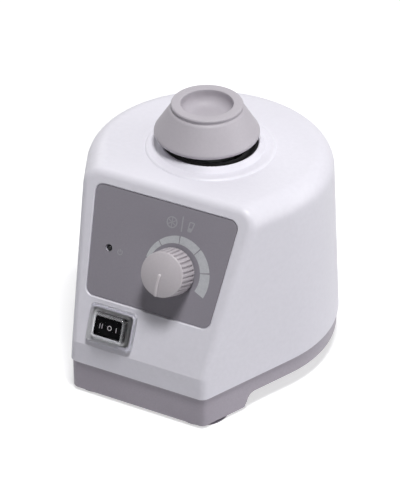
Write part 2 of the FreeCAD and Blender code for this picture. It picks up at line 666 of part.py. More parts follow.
# Places of the screws, the feet and the pillars
REAR_BOSS = f"({RADIUS} - boss_inset)"
BOSS_SPOTS = [(f"{side} * front_boss_x", f"{FRONT} + boss_inset") for side in SIDES]
BOSS_SPOTS += [(f"{side} * {REAR_BOSS} * cos(rear_boss_angle)",
                f"motor_axis_y + {REAR_BOSS} * sin(rear_boss_angle)") for side in SIDES]
FOOT_INSET = "(tray_inset + foot_radius + slack / 2)"
FOOT_DEPTH = f"({FOOT_INSET} + foot_set)"
FRONT_FOOT = f"(front_width / 2 + {FOOT_DEPTH} * tan({SIDE_ANGLE}) - {FOOT_INSET} / cos({SIDE_ANGLE}))"
REAR_FOOT = f"({RADIUS} - {FOOT_INSET})"
FOOT_SPOTS = [(f"{side} * {FRONT_FOOT}", f"{FRONT} + {FOOT_DEPTH}") for side in SIDES]
FOOT_SPOTS += [(f"{side} * {REAR_FOOT} * cos(rear_foot_angle)",
                f"motor_axis_y + {REAR_FOOT} * sin(rear_foot_angle)") for side in SIDES]
PILLAR_SPOTS = [(f"{side} * pillar_x", f"motor_axis_y + {end} * pillar_y") for side in SIDES for end in SIDES]

# Base tray: floor, a skirt below it whose sides step up between the feet, bosses for the feet under the
# floor, and a low wall above it
tray = new_body("tray")
pad(tray, body_outline(tray, "tray_inset", "foot_drop"), "tray_height")
FRONT_CORNERS = value(FRONT) + value("edge_round")
soften(tray, "edge_round - tray_inset", lambda edge: upright(edge) and middle(edge).y < FRONT_CORNERS)
soften(tray, "tray_round", level_with("foot_drop"))
pocket(tray, body_outline(tray, "tray_inset + tray_wall", PARTING), f"{PARTING} - {TRAY_FLOOR}")
pocket(tray, body_outline(tray, "tray_inset + tray_wall", "foot_drop"), "skirt_step", reverse=True)
SKIRT_TOP = "foot_drop + skirt_step"
SKIRT_CURVE = "((skirt_step * skirt_step + skirt_run * skirt_run) / (4 * skirt_step))"
front_step = f"{FRONT} + skirt_front"
rear_step = f"{BACK} - skirt_rear"
pocket(tray, draw(tray, "YZ_Plane", [
    (f"{front_step} + skirt_run / 4", "foot_drop - slack"),
    (f"{front_step} + skirt_run / 2", "foot_drop + skirt_step / 2"),
    (f"{front_step} + skirt_run", SKIRT_TOP, SKIRT_CURVE, -1),
    (f"{rear_step} - skirt_run", SKIRT_TOP),
    (f"{rear_step} - skirt_run / 2", "foot_drop + skirt_step / 2", SKIRT_CURVE, -1),
    (f"{rear_step} - skirt_run / 4", "foot_drop - slack")]))
pad(tray, rings(tray, "foot_rise", FOOT_SPOTS, "foot_boss"), f"{SKIRT_TOP} - foot_rise")
pad(tray, rings(tray, TRAY_FLOOR, BOSS_SPOTS, "boss_radius"), f"{PARTING} - {TRAY_FLOOR}")
pocket(tray, rings(tray, TRAY_FLOOR, BOSS_SPOTS, "screw_radius + fit"))
pocket(tray, rings(tray, TRAY_FLOOR, FOOT_SPOTS, "foot_stem + fit"))
pocket(tray, rings(tray, TRAY_FLOOR, PILLAR_SPOTS, "stud_radius + fit"))
node(tray, "base_tray")

# Rubber feet: a wide flat cup under each boss, with a stem pushed up through it
foot_profile = [("0", "0"), ("foot_radius", "0"), ("foot_radius", "foot_rim"),
                ("foot_radius - foot_shoulder", "foot_crown"), ("foot_boss", "foot_rise"),
                ("foot_stem", "foot_rise"), ("foot_stem", f"{TRAY_FLOOR} - slack"),
                ("0", f"{TRAY_FLOOR} - slack")]
node(group(*(turned("foot", foot_profile, x, y) for x, y in FOOT_SPOTS)), "rubber_feet")

# Screws that hold the housing on the tray, from below
SCREW_LENGTH = f"{PARTING} - foot_drop - skirt_step + screw_bite"
node(group(*(screw("screw_radius", SCREW_LENGTH, "screw_head", "screw_head_height", x, y, SKIRT_TOP)
             for x, y in BOSS_SPOTS)), "housing_screws")

# Ballast plate on the tray's floor, which carries the pillars
BALLAST = rectangle("2 * (pillar_x + ballast_edge)", "2 * (pillar_y + ballast_edge)", y="motor_axis_y")
ballast = prism("ballast", BALLAST, "ballast_thick", "plate_corner", TRAY_FLOOR)
pocket(ballast, rings(ballast, BALLAST_TOP, PILLAR_SPOTS, "stud_radius + fit"))
node(ballast, "ballast_plate")

# Support pillars with studs below and a thread for the damper screw above
PILLAR_TOP = f"({PLATE} - damper_height)"
THREAD_FOOT = f"({PILLAR_TOP} - thread_depth)"
STUD_FOOT = f"({SKIRT_TOP} - stud_nut - slack)"
pillar_profile = [("0", STUD_FOOT), ("stud_radius", STUD_FOOT), ("stud_radius", BALLAST_TOP),
                  ("pillar_radius", BALLAST_TOP), ("pillar_radius", PILLAR_TOP),
                  ("damper_screw + fit", PILLAR_TOP), ("damper_screw + fit", THREAD_FOOT), ("0", THREAD_FOOT)]
node(group(*(turned("pillar", pillar_profile, x, y) for x, y in PILLAR_SPOTS)), "support_pillars")
nuts = [cut(hexagon("stud_nut_radius", "stud_nut", x, y, f"{SKIRT_TOP} - stud_nut"),
            cylinder("stud_radius + fit", "stud_nut", x, y, f"{SKIRT_TOP} - stud_nut"))
        for x, y in PILLAR_SPOTS]
node(group(*nuts), "pillar_nuts")

# Housing: outer form less the cavity, with the collar, the screw bosses and the inlet's seat
outer = body_form("housing_outside", "0")
cavity = body_form("housing_cavity", "wall")
collar = turned("housing_collar", [
    ("opening_radius - wall", f"{TOP} - wall"), ("collar_radius", f"{TOP} - wall"), ("collar_radius", TOP),
    ("collar_radius - 2 * collar_ring", f"{TOP} + collar_ring", "2.5 * collar_ring", 1),
    ("collar_bend", f"{TOP} + collar_ring"),
    ("opening_radius + 2 * collar_lip", f"{COLLAR_TOP} - collar_lip / 2"),
    ("opening_radius + collar_lip", COLLAR_TOP, "1.25 * collar_lip", 1),
    ("opening_radius", f"{COLLAR_TOP} - collar_lip", "collar_lip", 1),
    ("opening_radius - wall", f"{COLLAR_TOP} - collar_lip")])
bosses = [cylinder("boss_radius", "boss_height", x, y, PARTING) for x, y in BOSS_SPOTS]
SEAT_LENGTH = "(flange_length + 2 * inlet_margin)"
SEAT_WIDTH = "(flange_width + 2 * inlet_margin)"
seat = block(f"{SEAT_LENGTH} + 2 * seat_rim", "inlet_block", f"{SEAT_WIDTH} + 2 * seat_rim", "0",
             f"{INLET_Y} - inlet_block / 2", f"inlet_level - {SEAT_WIDTH} / 2 - seat_rim")
solid = fuse(cut(outer, cavity), collar, common(fuse(seat, *bosses), outer))


def panel_outline(spare):
    """The panel's trapezium, larger by spare all round."""
    low, high = f"(panel_bottom_width / 2 + ({spare}))", f"(panel_top_width / 2 + ({spare}))"
    foot, head = f"(-({spare}))", f"(panel_height + ({spare}))"
    return [(low, foot), (high, head), (f"-{high}", head), (f"-{low}", foot)]


panel_recess = prism("panel_recess", panel_outline("panel_gap"), "2 * panel_sink", "panel_corner + panel_gap")
place_on_front(panel_recess, "0", "panel_bottom", "-panel_sink")
BEVEL_REACH = "(panel_gap + panel_bevel)"
panel_bevel = prism("panel_bevel", panel_outline(BEVEL_REACH), "2 * panel_bevel",
                    f"panel_corner + {BEVEL_REACH}")
soften(panel_bevel, "panel_bevel", level_with("0"), "Chamfer")
place_on_front(panel_bevel, "0", "panel_bottom", "-panel_bevel")
WALL_DEPTH = "(2 * wall + 2 * spare)"
WALL_BACK = "(-wall - spare)"
pot_hole = place_on_front(cylinder(f"{BUSHING} + fit", WALL_DEPTH), "knob_x", "knob_up", WALL_BACK)
lamp_hole = place_on_front(cylinder("led_hole", WALL_DEPTH), "led_x", "led_up", WALL_BACK)
switch_hole = prism("switch_hole", rectangle("switch_length + 2 * slack", "switch_width + 2 * slack"),
                    WALL_DEPTH)
place_on_front(switch_hole, "switch_x", "switch_up", WALL_BACK)
recess = prism("inlet_recess", rectangle(SEAT_LENGTH, SEAT_WIDTH), "inlet_block * 3", "inlet_margin")
place_at_back(recess)
inlet_hole = prism("inlet_hole", rectangle("inlet_length + 2 * slack", "inlet_width + 2 * slack"),
                   "inlet_block * 4")
place_at_back(inlet_hole)
inlet_hole.setExpression("Placement.Base.y", linked(f"{INLET_Y} - 2 * inlet_block"))
opening = cylinder("opening_radius", "2 * wall + collar_rise + spare", "0", "motor_axis_y",
                   f"{TOP} - 2 * wall")
pilots = [cylinder("screw_radius + fit", "screw_bite + pilot_room", x, y, PARTING) for x, y in BOSS_SPOTS]
front_holes = fuse(panel_recess, panel_bevel, pot_hole, lamp_hole, switch_hole)
tools = fuse(front_holes, recess, inlet_hole, opening, *pilots)
node(cut(solid, tools), "upper_housing")

# Opening gasket: rubber ring in the opening, with a gutter and an upstanding lip round the drive
GASKET_TOP = f"({COLLAR_TOP} - gasket_drop)"
GASKET_INNER = "(bearing_radius + carrier_wall + throw + gasket_room)"
GASKET_OUTER = "(opening_radius - fit)"
GASKET_FLANGE = f"({GASKET_OUTER} + gasket_flange)"
GASKET_FOOT = f"({TOP} - wall - gasket_thick)"
node(turned("gasket", [
    (GASKET_INNER, GASKET_FOOT), (GASKET_FLANGE, GASKET_FOOT), (GASKET_FLANGE, f"{TOP} - wall"),
    (GASKET_OUTER, f"{TOP} - wall"), (GASKET_OUTER, GASKET_TOP), (f"{GASKET_OUTER} - gasket_rim", GASKET_TOP),
    (f"{GASKET_INNER} + gasket_rim + gasket_gutter / 2", f"{GASKET_TOP} - gasket_gutter"),
    (f"{GASKET_INNER} + gasket_rim", f"{GASKET_TOP} - gasket_step"),
    (GASKET_INNER, f"{GASKET_TOP} - gasket_step")]), "opening_gasket")

# Carriage plate on rubber dampers, held down by screws and washers on the pillars
PLATE_OUTLINE = rectangle("2 * (pillar_x + plate_edge)", "2 * (pillar_y + plate_edge)", y="motor_axis_y")
carriage = prism("carriage", PLATE_OUTLINE, "plate_thick", "plate_corner", PLATE)
BOLT_SPOTS = [("0", f"motor_axis_y + {end} * bolt_y") for end in SIDES]
pocket(carriage, rings(carriage, PLATE, PILLAR_SPOTS, "damper_screw + press_room"))
pocket(carriage, rings(carriage, PLATE, BOLT_SPOTS, "bolt_radius + fit"))
pocket(carriage, rings(carriage, PLATE, [("0", "motor_axis_y")], "bracket_boss + boss_room"))
node(carriage, "carriage_plate")
node(group(*(tube("damper", "damper_screw + press_room", "damper_radius", "damper_height", x, y, PILLAR_TOP)
             for x, y in PILLAR_SPOTS)), "rubber_dampers")
node(group(*(tube("washer", "damper_screw + fit", "damper_radius", "washer_thick", x, y, PLATE_TOP)
             for x, y in PILLAR_SPOTS)), "damper_washers")
SCREW_SEAT = f"({PLATE_TOP} + washer_thick)"
DAMPER_SHANK = f"{SCREW_SEAT} - {THREAD_FOOT} - thread_end"
node(group(*(screw("damper_screw", DAMPER_SHANK, "damper_head", "damper_head_height", x, y, SCREW_SEAT, False)
             for x, y in PILLAR_SPOTS)), "damper_screws")

# Shaded-pole motor under the plate: lamination stack, coil on its limb, two brackets and through bolts
STACK = rectangle("stator_right + stator_left", "2 * stator_half", "(stator_right - stator_left) / 2",
                  "motor_axis_y")
stack = prism("stack", STACK, "stack_height", "stack_corner", STACK_FOOT)
LIMB_SIDE = "(-stator_left + limb_width)"
pocket(stack, rings(stack, STACK_TOP, [("0", "motor_axis_y")], "rotor_radius + air_gap"))
WINDOW = rectangle(f"-window_near - {LIMB_SIDE}", "2 * window_half", f"(-window_near + {LIMB_SIDE}) / 2",
                   "motor_axis_y")
pocket(stack, draw(stack, "XY_Plane", WINDOW, STACK_TOP))
pocket(stack, rings(stack, STACK_TOP, BOLT_SPOTS, "bolt_radius + fit"))
node(stack, "stator_core")

COIL_X = "(-stator_left + limb_width / 2)"
COIL_HALF = "(window_half - slack)"
STACK_MIDDLE = f"({STACK_FOOT} + stack_height / 2)"
BOBBIN_LENGTH = "(limb_width + 2 * slack + 2 * bobbin_wall)"
BOBBIN_HEIGHT = "(stack_height + 2 * slack + 2 * bobbin_wall)"


def round_limb(grow, half):
    """A block round the coil's limb, larger by grow on each side of the bobbin's wall."""
    return block(f"{BOBBIN_LENGTH} + 2 * ({grow})", f"2 * ({half})", f"{BOBBIN_HEIGHT} + 2 * ({grow})",
                 COIL_X, "motor_axis_y", f"{STACK_MIDDLE} - {BOBBIN_HEIGHT} / 2 - ({grow})")


FLANGE_REACH = "(coil_build + flange_rise)"
flanges = [block(f"{BOBBIN_LENGTH} + 2 * {FLANGE_REACH}", "bobbin_wall",
                 f"{BOBBIN_HEIGHT} + 2 * {FLANGE_REACH}", COIL_X,
                 f"motor_axis_y + {end} * ({COIL_HALF} - bobbin_wall / 2)",
                 f"{STACK_MIDDLE} - {BOBBIN_HEIGHT} / 2 - {FLANGE_REACH}") for end in SIDES]
node(cut(fuse(round_limb("0", COIL_HALF), *flanges), round_limb("-bobbin_wall", "2 * window_half")),
     "coil_bobbin")
node(cut(round_limb("coil_build", f"{COIL_HALF} - bobbin_wall"), round_limb("0", "2 * window_half")),
     "motor_coil")


def motor_bracket(label, foot, bar, boss):
    """A die-cast bridge: two posts on the stack, a bar across them and a bearing boss in its middle."""
    posts = [cylinder("bracket_post", foot[1], x, y, foot[0]) for x, y in BOLT_SPOTS]
    span = block("bracket_span", "2 * bolt_y", "bracket_bar", "0", "motor_axis_y", bar)
    hub = cylinder("bracket_boss", "bush_length", "0", "motor_axis_y", boss)
    holes = [cylinder("bolt_radius + fit", f"{foot[1]} + 2 * spare", x, y, f"{foot[0]} - spare")
             for x, y in BOLT_SPOTS]
    bore = cylinder("bush_radius + fit", "bush_length + 2 * spare", "0", "motor_axis_y", f"{boss} - spare")
    return node(cut(fuse(span, hub, *posts), fuse(bore, *holes)), label)


LOW_FOOT = f"({STACK_FOOT} - motor_gap)"
UPPER_BUSH = f"({STACK_TOP} + bush_gap)"
LOWER_BUSH = f"({STACK_FOOT} - bush_gap - bush_length)"
TOP_BAR = f"{STACK_TOP} + motor_gap - bracket_bar"
motor_bracket("motor_top_bracket", (STACK_TOP, "motor_gap"), TOP_BAR, UPPER_BUSH)
motor_bracket("motor_bottom_bracket", (LOW_FOOT, "motor_gap"), LOW_FOOT, LOWER_BUSH)
node(group(*(tube("bush", "shaft_radius + fit", "bush_radius", "bush_length", z=level)
             for level in (UPPER_BUSH, LOWER_BUSH))), "shaft_bushes")
BOLT_LENGTH = f"{PLATE_TOP} + bolt_nut + thread_end - {LOW_FOOT}"
node(group(*(screw("bolt_radius", BOLT_LENGTH, "bolt_head", "bolt_head_height", x, y, LOW_FOOT)
             for x, y in BOLT_SPOTS)), "motor_bolts")
node(group(*(cut(hexagon("bolt_nut_radius", "bolt_nut", x, y, PLATE_TOP),
                 cylinder("bolt_radius + fit", "bolt_nut", x, y, PLATE_TOP))
             for x, y in BOLT_SPOTS)), "motor_nuts")

# Rotor with its end rings, and the shaft up to the eccentric hub
HUB_FOOT = f"({PLATE_TOP} + hub_gap)"
HUB_TOP = f"({BEARING} - shoulder_height)"
SHAFT_TOP = f"({HUB_TOP} - hub_roof)"
END_RING = "rotor_radius - end_ring_inset"
node(turned("rotor", [
    ("shaft_radius + fit", f"{STACK_FOOT} - end_ring"), (END_RING, f"{STACK_FOOT} - end_ring"),
    (END_RING, STACK_FOOT), ("rotor_radius", STACK_FOOT), ("rotor_radius", STACK_TOP),
    (END_RING, STACK_TOP), (END_RING, f"{STACK_TOP} + end_ring"),
    ("shaft_radius + fit", f"{STACK_TOP} + end_ring")]), "rotor_core")
SHAFT_FOOT = f"({LOWER_BUSH} - shaft_end)"
node(cylinder("shaft_radius", f"{SHAFT_TOP} - {SHAFT_FOOT}", "0", "motor_axis_y", SHAFT_FOOT), "motor_shaft")

# Eccentric hub: a boss on the shaft, a half-round balance weight and the offset pin for the bearing
hub = new_body("hub")
WEIGHT_FOOT = f"({HUB_TOP} - weight_drop - weight_height)"
pad(hub, rings(hub, HUB_FOOT, [("0", "0")], "hub_radius"), f"{HUB_TOP} - {HUB_FOOT}")
WEIGHT_SPAN = "sqrt(weight_radius * weight_radius - throw * throw)"
WEIGHT = [("throw", f"-{WEIGHT_SPAN}"), ("throw", WEIGHT_SPAN, "weight_radius", 1)]
pad(hub, draw(hub, "XY_Plane", WEIGHT, WEIGHT_FOOT), "weight_height")
pad(hub, rings(hub, HUB_TOP, [(PIN_X, "0")], "bearing_bore + shoulder_width"), "shoulder_height")
pad(hub, rings(hub, BEARING, [(PIN_X, "0")], "bearing_bore"), "bearing_width - pin_short")
SHAFT_SEAT = rings(hub, HUB_FOOT, [("0", "0")], "shaft_radius + fit")
pocket(hub, SHAFT_SEAT, f"{SHAFT_TOP} - {HUB_FOOT} + fit", reverse=True)
CLAMP_HOLE = rings(hub, f"{BEARING_TOP} - pin_short", [(PIN_X, "0")], "clamp_screw + fit")
pocket(hub, CLAMP_HOLE, "bearing_width + thread_end")
GRUB_LEVEL = f"({HUB_FOOT} + grub_level)"
grub_hole = cylinder("grub_radius + fit", "hub_radius")
grub = cylinder("grub_radius", "hub_radius - shaft_radius - 2 * slack")
for item, start in ((grub_hole, "-hub_radius - spare"), (grub, "-hub_radius + slack")):
    item.Placement = Placement(Vector(), Rotation(Vector(0, 1, 0), 90))
    place(item, start, "motor_axis_y", GRUB_LEVEL)
place(hub, "0", "motor_axis_y")
node(cut(hub, grub_hole), "eccentric_hub")
node(grub, "hub_set_screw")

# Ball bearing on the eccentric pin, with its clamp washer and screw
RACE = "((bearing_bore + bearing_radius) / 2)"
INNER_LAND = f"({RACE} - ball_radius + race_bite)"
OUTER_LAND = f"({RACE} + ball_radius - race_bite)"
GROOVE = "(ball_radius + ball_room)"
GROOVE_HALF = f"sqrt({GROOVE} * {GROOVE} - (ball_radius - race_bite) * (ball_radius - race_bite))"
BALL_LEVEL = f"({BEARING} + bearing_width / 2)"
node(turned("inner_ring", [
    ("bearing_bore + seat_fit", "0"), (INNER_LAND, "0"), (INNER_LAND, f"bearing_width / 2 - {GROOVE_HALF}"),
    (INNER_LAND, f"bearing_width / 2 + {GROOVE_HALF}", GROOVE, -1), (INNER_LAND, "bearing_width"),
    ("bearing_bore + seat_fit", "bearing_width")], PIN_X, "motor_axis_y", BEARING), "bearing_inner_ring")
node(turned("outer_ring", [
    (OUTER_LAND, "0"), ("bearing_radius", "0"), ("bearing_radius", "bearing_width"),
    (OUTER_LAND, "bearing_width"),
    (OUTER_LAND, f"bearing_width / 2 + {GROOVE_HALF}"),
    (OUTER_LAND, f"bearing_width / 2 - {GROOVE_HALF}", GROOVE, -1)], PIN_X, "motor_axis_y", BEARING),
    "bearing_outer_ring")
CAGE_HALF = "(ball_radius + cage_rim)"
ball_count = int(value("ball_count"))
balls = []
pockets = []
for index in range(ball_count):
    turn = index * 360 / ball_count
    x, y = f"{PIN_X} + {RACE} * cos({turn})", f"motor_axis_y + {RACE} * sin({turn})"
    ball = bind(doc.addObject("Part::Sphere", "ball"), Radius="ball_radius")
    balls.append(place(ball, x, y, BALL_LEVEL))
    hole = cylinder(GROOVE, RACE)
    hole.Placement = Placement(Vector(), Rotation(Vector(0, 0, 1), turn) * Rotation(Vector(0, 1, 0), 90))
    pockets.append(place(hole, f"{PIN_X} + {RACE} / 2 * cos({turn})",
                         f"motor_axis_y + {RACE} / 2 * sin({turn})",
                         BALL_LEVEL))
node(group(*balls), "bearing_balls")
cage = tube("cage", f"{RACE} - cage_half", f"{RACE} + cage_half", f"2 * {CAGE_HALF}", PIN_X, "motor_axis_y",
            f"{BALL_LEVEL} - {CAGE_HALF}")
node(cut(cage, fuse(*pockets)), "bearing_cage")
node(tube("clamp", "clamp_screw + fit", f"{INNER_LAND} - slack", "clamp_washer", PIN_X, "motor_axis_y",
          BEARING_TOP), "bearing_washer")
node(screw("clamp_screw", "bearing_width", "clamp_head", "clamp_head_height", PIN_X, "motor_axis_y",
           f"{BEARING_TOP} + clamp_washer", False), "bearing_screw")

# Cup carrier: a bell over the bearing, with a seat for the drip shield and a post for the rubber cup
BELL = "(bearing_radius + carrier_wall)"
ROOM_TOP = f"({BEARING_TOP} + carrier_room)"
POST_TOP = f"({CUP} + post_height)"
SHIELD_SEAT = f"({BELL} - shield_ledge)"
ROOF_EDGE = f"({OUTER_LAND} - roof_lap)"
node(turned("carrier", [
    ("bearing_radius + seat_fit", BEARING), (BELL, BEARING), (BELL, SHIELD), (SHIELD_SEAT, SHIELD),
    (SHIELD_SEAT, CUP), ("post_radius", CUP), ("post_radius", POST_TOP), ("0", POST_TOP), ("0", ROOM_TOP),
    (ROOF_EDGE, ROOM_TOP), (ROOF_EDGE, BEARING_TOP),
    ("bearing_radius + seat_fit", BEARING_TOP)], PIN_X), "cup_carrier")
node(tube("shield", f"{SHIELD_SEAT} + fit", "shield_radius", "shield_thick", PIN_X, "motor_axis_y", SHIELD),
     "drip_shield")

# Rubber cup: a cone with a rounded foot, a flat top ring and a dished recess
DISH = "(recess_depth - recess_wall)"
DISH_RADIUS = f"((recess_radius * recess_radius + {DISH} * {DISH}) / (2 * {DISH}))"
node(turned("cup", [
    ("post_radius + fit", CUP), ("cup_radius - cup_edge", CUP),
    ("cup_radius", f"{CUP} + cup_edge", "cup_edge", 1),
    ("cup_top_radius", f"{CUP_TOP} - cup_lip"), ("cup_top_radius - cup_lip", CUP_TOP, "cup_lip", 1),
    ("recess_radius + cup_lip", CUP_TOP), ("recess_radius", f"{CUP_TOP} - cup_lip", "cup_lip", 1),
    ("recess_radius", f"{CUP_TOP} - recess_wall"), ("0", f"{CUP_TOP} - recess_depth", DISH_RADIUS, -1),
    ("0", POST_TOP), ("post_radius + fit", POST_TOP)], PIN_X), "rubber_cup")

# Panel film in its recess
film = prism("film", panel_outline("0"), "panel_film", "panel_corner")
pocket(film, rings(film, "0", [("knob_x", "knob_up - panel_bottom")], f"{BUSHING} + slack"))
pocket(film, rings(film, "0", [("led_x", "led_up - panel_bottom")], "led_hole"))
place_on_front(film, "0", "panel_bottom", "-panel_sink")
node(film, "panel_overlay")

# Speed control: potentiometer in the wall, its nut and shaft, and the ribbed knob with its pointer
FILM_FACE = "(panel_film - panel_sink)"
pot = turned("pot", [
    ("0", "-wall - pot_depth"), ("pot_radius", "-wall - pot_depth"), ("pot_radius", "-wall"),
    (BUSHING, "-wall"), (BUSHING, "bushing_reach"), ("pot_shaft_radius + fit", "bushing_reach"),
    ("pot_shaft_radius + fit", "-wall - pot_depth / 2"), ("0", "-wall - pot_depth / 2")])
node(place_on_front(pot, "knob_x", "knob_up"), "potentiometer_body")
pot_nut = cut(hexagon(f"{BUSHING} + pot_nut_wall", "pot_nut_height", z=FILM_FACE),
              cylinder(f"{BUSHING} + fit", "pot_nut_height", z=FILM_FACE))
node(place_on_front(pot_nut, "knob_x", "knob_up"), "potentiometer_nut")
pot_shaft = cylinder("pot_shaft_radius", "pot_shaft_reach + wall + pot_depth / 2 - slack")
node(place_on_front(pot_shaft, "knob_x", "knob_up", "-wall - pot_depth / 2 + slack"), "potentiometer_shaft")

FACE_EDGE = "(knob_gap + knob_skirt)"
FACE_TOP = f"({FACE_EDGE} + knob_dome)"
HUB_ROOM = "(bushing_reach + hub_room)"
ROOF = f"({FACE_EDGE} - knob_wall)"
DOME_RADIUS = "((knob_face * knob_face + knob_dome * knob_dome) / (2 * knob_dome))"
SHAFT_END = "(pot_shaft_reach + slack)"
KNOB_HUB = "(pot_shaft_radius + hub_wall)"
knob = turned("knob", [
    ("knob_radius - knob_wall", "knob_gap"), ("knob_radius", "knob_gap"), ("knob_face", FACE_EDGE),
    ("0", FACE_TOP, DOME_RADIUS, 1), ("0", SHAFT_END), ("pot_shaft_radius + fit", SHAFT_END),
    ("pot_shaft_radius + fit", HUB_ROOM), (KNOB_HUB, HUB_ROOM), (KNOB_HUB, ROOF),
    ("knob_face - knob_wall", ROOF)])
GROOVE_SPOT = [("knob_radius + groove_out", "0")]
groove_ring = rings(knob, "knob_gap", GROOVE_SPOT, "rib_groove")
groove = pocket(knob, groove_ring, "knob_skirt - groove_stop", reverse=True)
grooves = knob.newObject("PartDesign::PolarPattern", "grooves")
grooves.Originals = [groove]
grooves.Axis = (next(item for item in knob.Origin.OriginFeatures if item.Role == "Z_Axis"), [""])
grooves.Angle = 360
bind(grooves, Occurrences="rib_count")
knob.Tip = grooves
doc.recompute()
pointer = draw(knob, "YZ_Plane", [
    ("-knob_face - pointer_over", SHAFT_END), ("-pointer_start", SHAFT_END),
    ("-pointer_start", f"{FACE_TOP} + pointer_rise"),
    ("-knob_face - pointer_over", f"{FACE_EDGE} + pointer_end")], "-pointer_width / 2")
pad(knob, pointer, "pointer_width")
node(place_on_front(knob, "knob_x", "knob_up"), "speed_knob")

# Indicator lamp on its spacer
LAMP_FOOT = "(-wall - led_foot)"
BOARD_FACE = "(-wall - pot_depth)"
lamp = turned("lamp", [
    ("0", LAMP_FOOT), ("led_flange", LAMP_FOOT), ("led_flange", f"{LAMP_FOOT} + led_flange_thick"),
    ("led_radius", f"{LAMP_FOOT} + led_flange_thick"), ("led_radius", "-led_sink - led_radius"),
    ("0", "-led_sink", "led_radius", 1)])
node(place_on_front(lamp, "led_x", "led_up"), "power_led")
spacer = tube("spacer", "spacer_bore", "spacer_radius", f"{LAMP_FOOT} - {BOARD_FACE}")
node(place_on_front(spacer, "led_x", "led_up", BOARD_FACE), "led_spacer")

# Rocker switch: body with its bezel, terminals, rocker on its pivot, and the clear boot over it
shell = prism("switch", rectangle("bezel_length", "bezel_width"), "bezel_thick", "bezel_corner")
SWITCH = rectangle("switch_length", "switch_width")
pad(shell, draw(shell, "XY_Plane", SWITCH, "-switch_depth"), "switch_depth")
ROCKER_WELL = rectangle("rocker_length + 2 * rocker_room", "rocker_width + 2 * rocker_room")
pocket(shell, draw(shell, "XY_Plane", ROCKER_WELL, "bezel_thick"), "bezel_thick + switch_depth / 2")
PIN_LENGTH = "(rocker_width + 2 * rocker_room + 2 * pin_bite)"


def crossways(radius, length):
    """A pin across the rocker at its pivot."""
    item = cylinder(radius, length)
    item.Placement = Placement(Vector(), Rotation(Vector(1, 0, 0), 90))
    return place(item, "0", f"({length}) / 2", "-rocker_pivot")


pivot_hole = crossways("rocker_pin + fit", f"{PIN_LENGTH} + 2 * slack")
node(place_on_front(cut(shell, pivot_hole), "switch_x", "switch_up"), "switch_housing")
blades = [block("blade_thick", "blade_width", "blade_length", f"{spot} * blade_pitch", "0",
                "-switch_depth - blade_length") for spot in (-1, 0, 1)]
node(place_on_front(group(*blades), "switch_x", "switch_up"), "switch_terminals")
rocker = new_body("rocker")
rocker_side = draw(rocker, "XZ_Plane", [
    ("rocker_length / 2", "rocker_rise"), ("0", "rocker_rise - rocker_dip"),
    ("-rocker_length / 2", "rocker_rise"),
    ("-rocker_length / 2", "rocker_edge"), ("-rocker_heel", "-rocker_pivot - rocker_keel"),
    ("rocker_heel", "-rocker_pivot - rocker_keel"), ("rocker_length / 2", "rocker_edge")],
    "-rocker_width / 2")
pad(rocker, rocker_side, "rocker_width")
rocker_on_pins = fuse(rocker, crossways("rocker_pin", PIN_LENGTH))
node(place_on_front(rocker_on_pins, "switch_x", "switch_up"), "switch_rocker")


def tapered(label, length, width, foot, roof, corner):
    """A box with sloping sides and rounded corners, from its roof's size and the levels of foot and roof."""
    body = new_body(label)
    grow = f"2 * (({roof}) - ({foot})) * tan(boot_lean)"
    pad(body, draw(body, "XY_Plane", rectangle(f"({length}) + {grow}", f"({width}) + {grow}"), foot),
        f"({roof}) - ({foot})", TaperAngle="-boot_lean")
    above_foot = value(foot) + value("slack")
    soften(body, corner, lambda edge: edge.BoundBox.ZMax > above_foot)
    return body


flange = prism("boot_flange", rectangle("boot_length", "boot_width"), "boot_flange", "boot_round")
dome = tapered("boot_dome", "boot_roof_length", "boot_roof_width", "boot_flange - slack", "boot_rise",
               "boot_round")
seat_hollow = prism("boot_seat", rectangle("bezel_length + 2 * slack", "bezel_width + 2 * slack"),
                    "bezel_thick + slack", "boot_round")
hollow = tapered("boot_hollow", "boot_roof_length - 2 * boot_wall", "boot_roof_width - 2 * boot_wall",
                 "bezel_thick", "boot_rise - boot_wall", "boot_round - boot_wall")
boot = cut(fuse(flange, dome), fuse(seat_hollow, hollow))
node(place_on_front(boot, "switch_x", "switch_up"), "switch_boot")

# Control board behind the panel, on standoffs, with its parts on the back
board = prism("board", rectangle("board_length", "board_width"), "board_thick", "board_corner",
              f"{BOARD_FACE} - board_thick")
BOARD_SPOTS = [(f"{i} * (board_length / 2 - board_margin)", f"{j} * (board_width / 2 - board_margin)")
               for i in SIDES for j in SIDES]
pocket(board, rings(board, BOARD_FACE, BOARD_SPOTS, "board_screw + fit"))
node(place_on_front(board, "board_x", "board_up"), "control_board")
standoffs = [tube("standoff", "board_screw + fit", "standoff_radius", "pot_depth", x, y, BOARD_FACE)
             for x, y in BOARD_SPOTS]
node(place_on_front(group(*standoffs), "board_x", "board_up"), "board_standoffs")
BOARD_BACK = f"({BOARD_FACE} - board_thick)"
FIXING_LENGTH = "pot_depth - thread_end + board_thick"
fixings = [screw("board_screw", FIXING_LENGTH, "fixing_head", "fixing_head_height", x, y, BOARD_BACK)
           for x, y in BOARD_SPOTS]
node(place_on_front(group(*fixings), "board_x", "board_up"), "board_screws")


def behind_board(item):
    return place_on_front(item, "board_x", "board_up", BOARD_BACK)


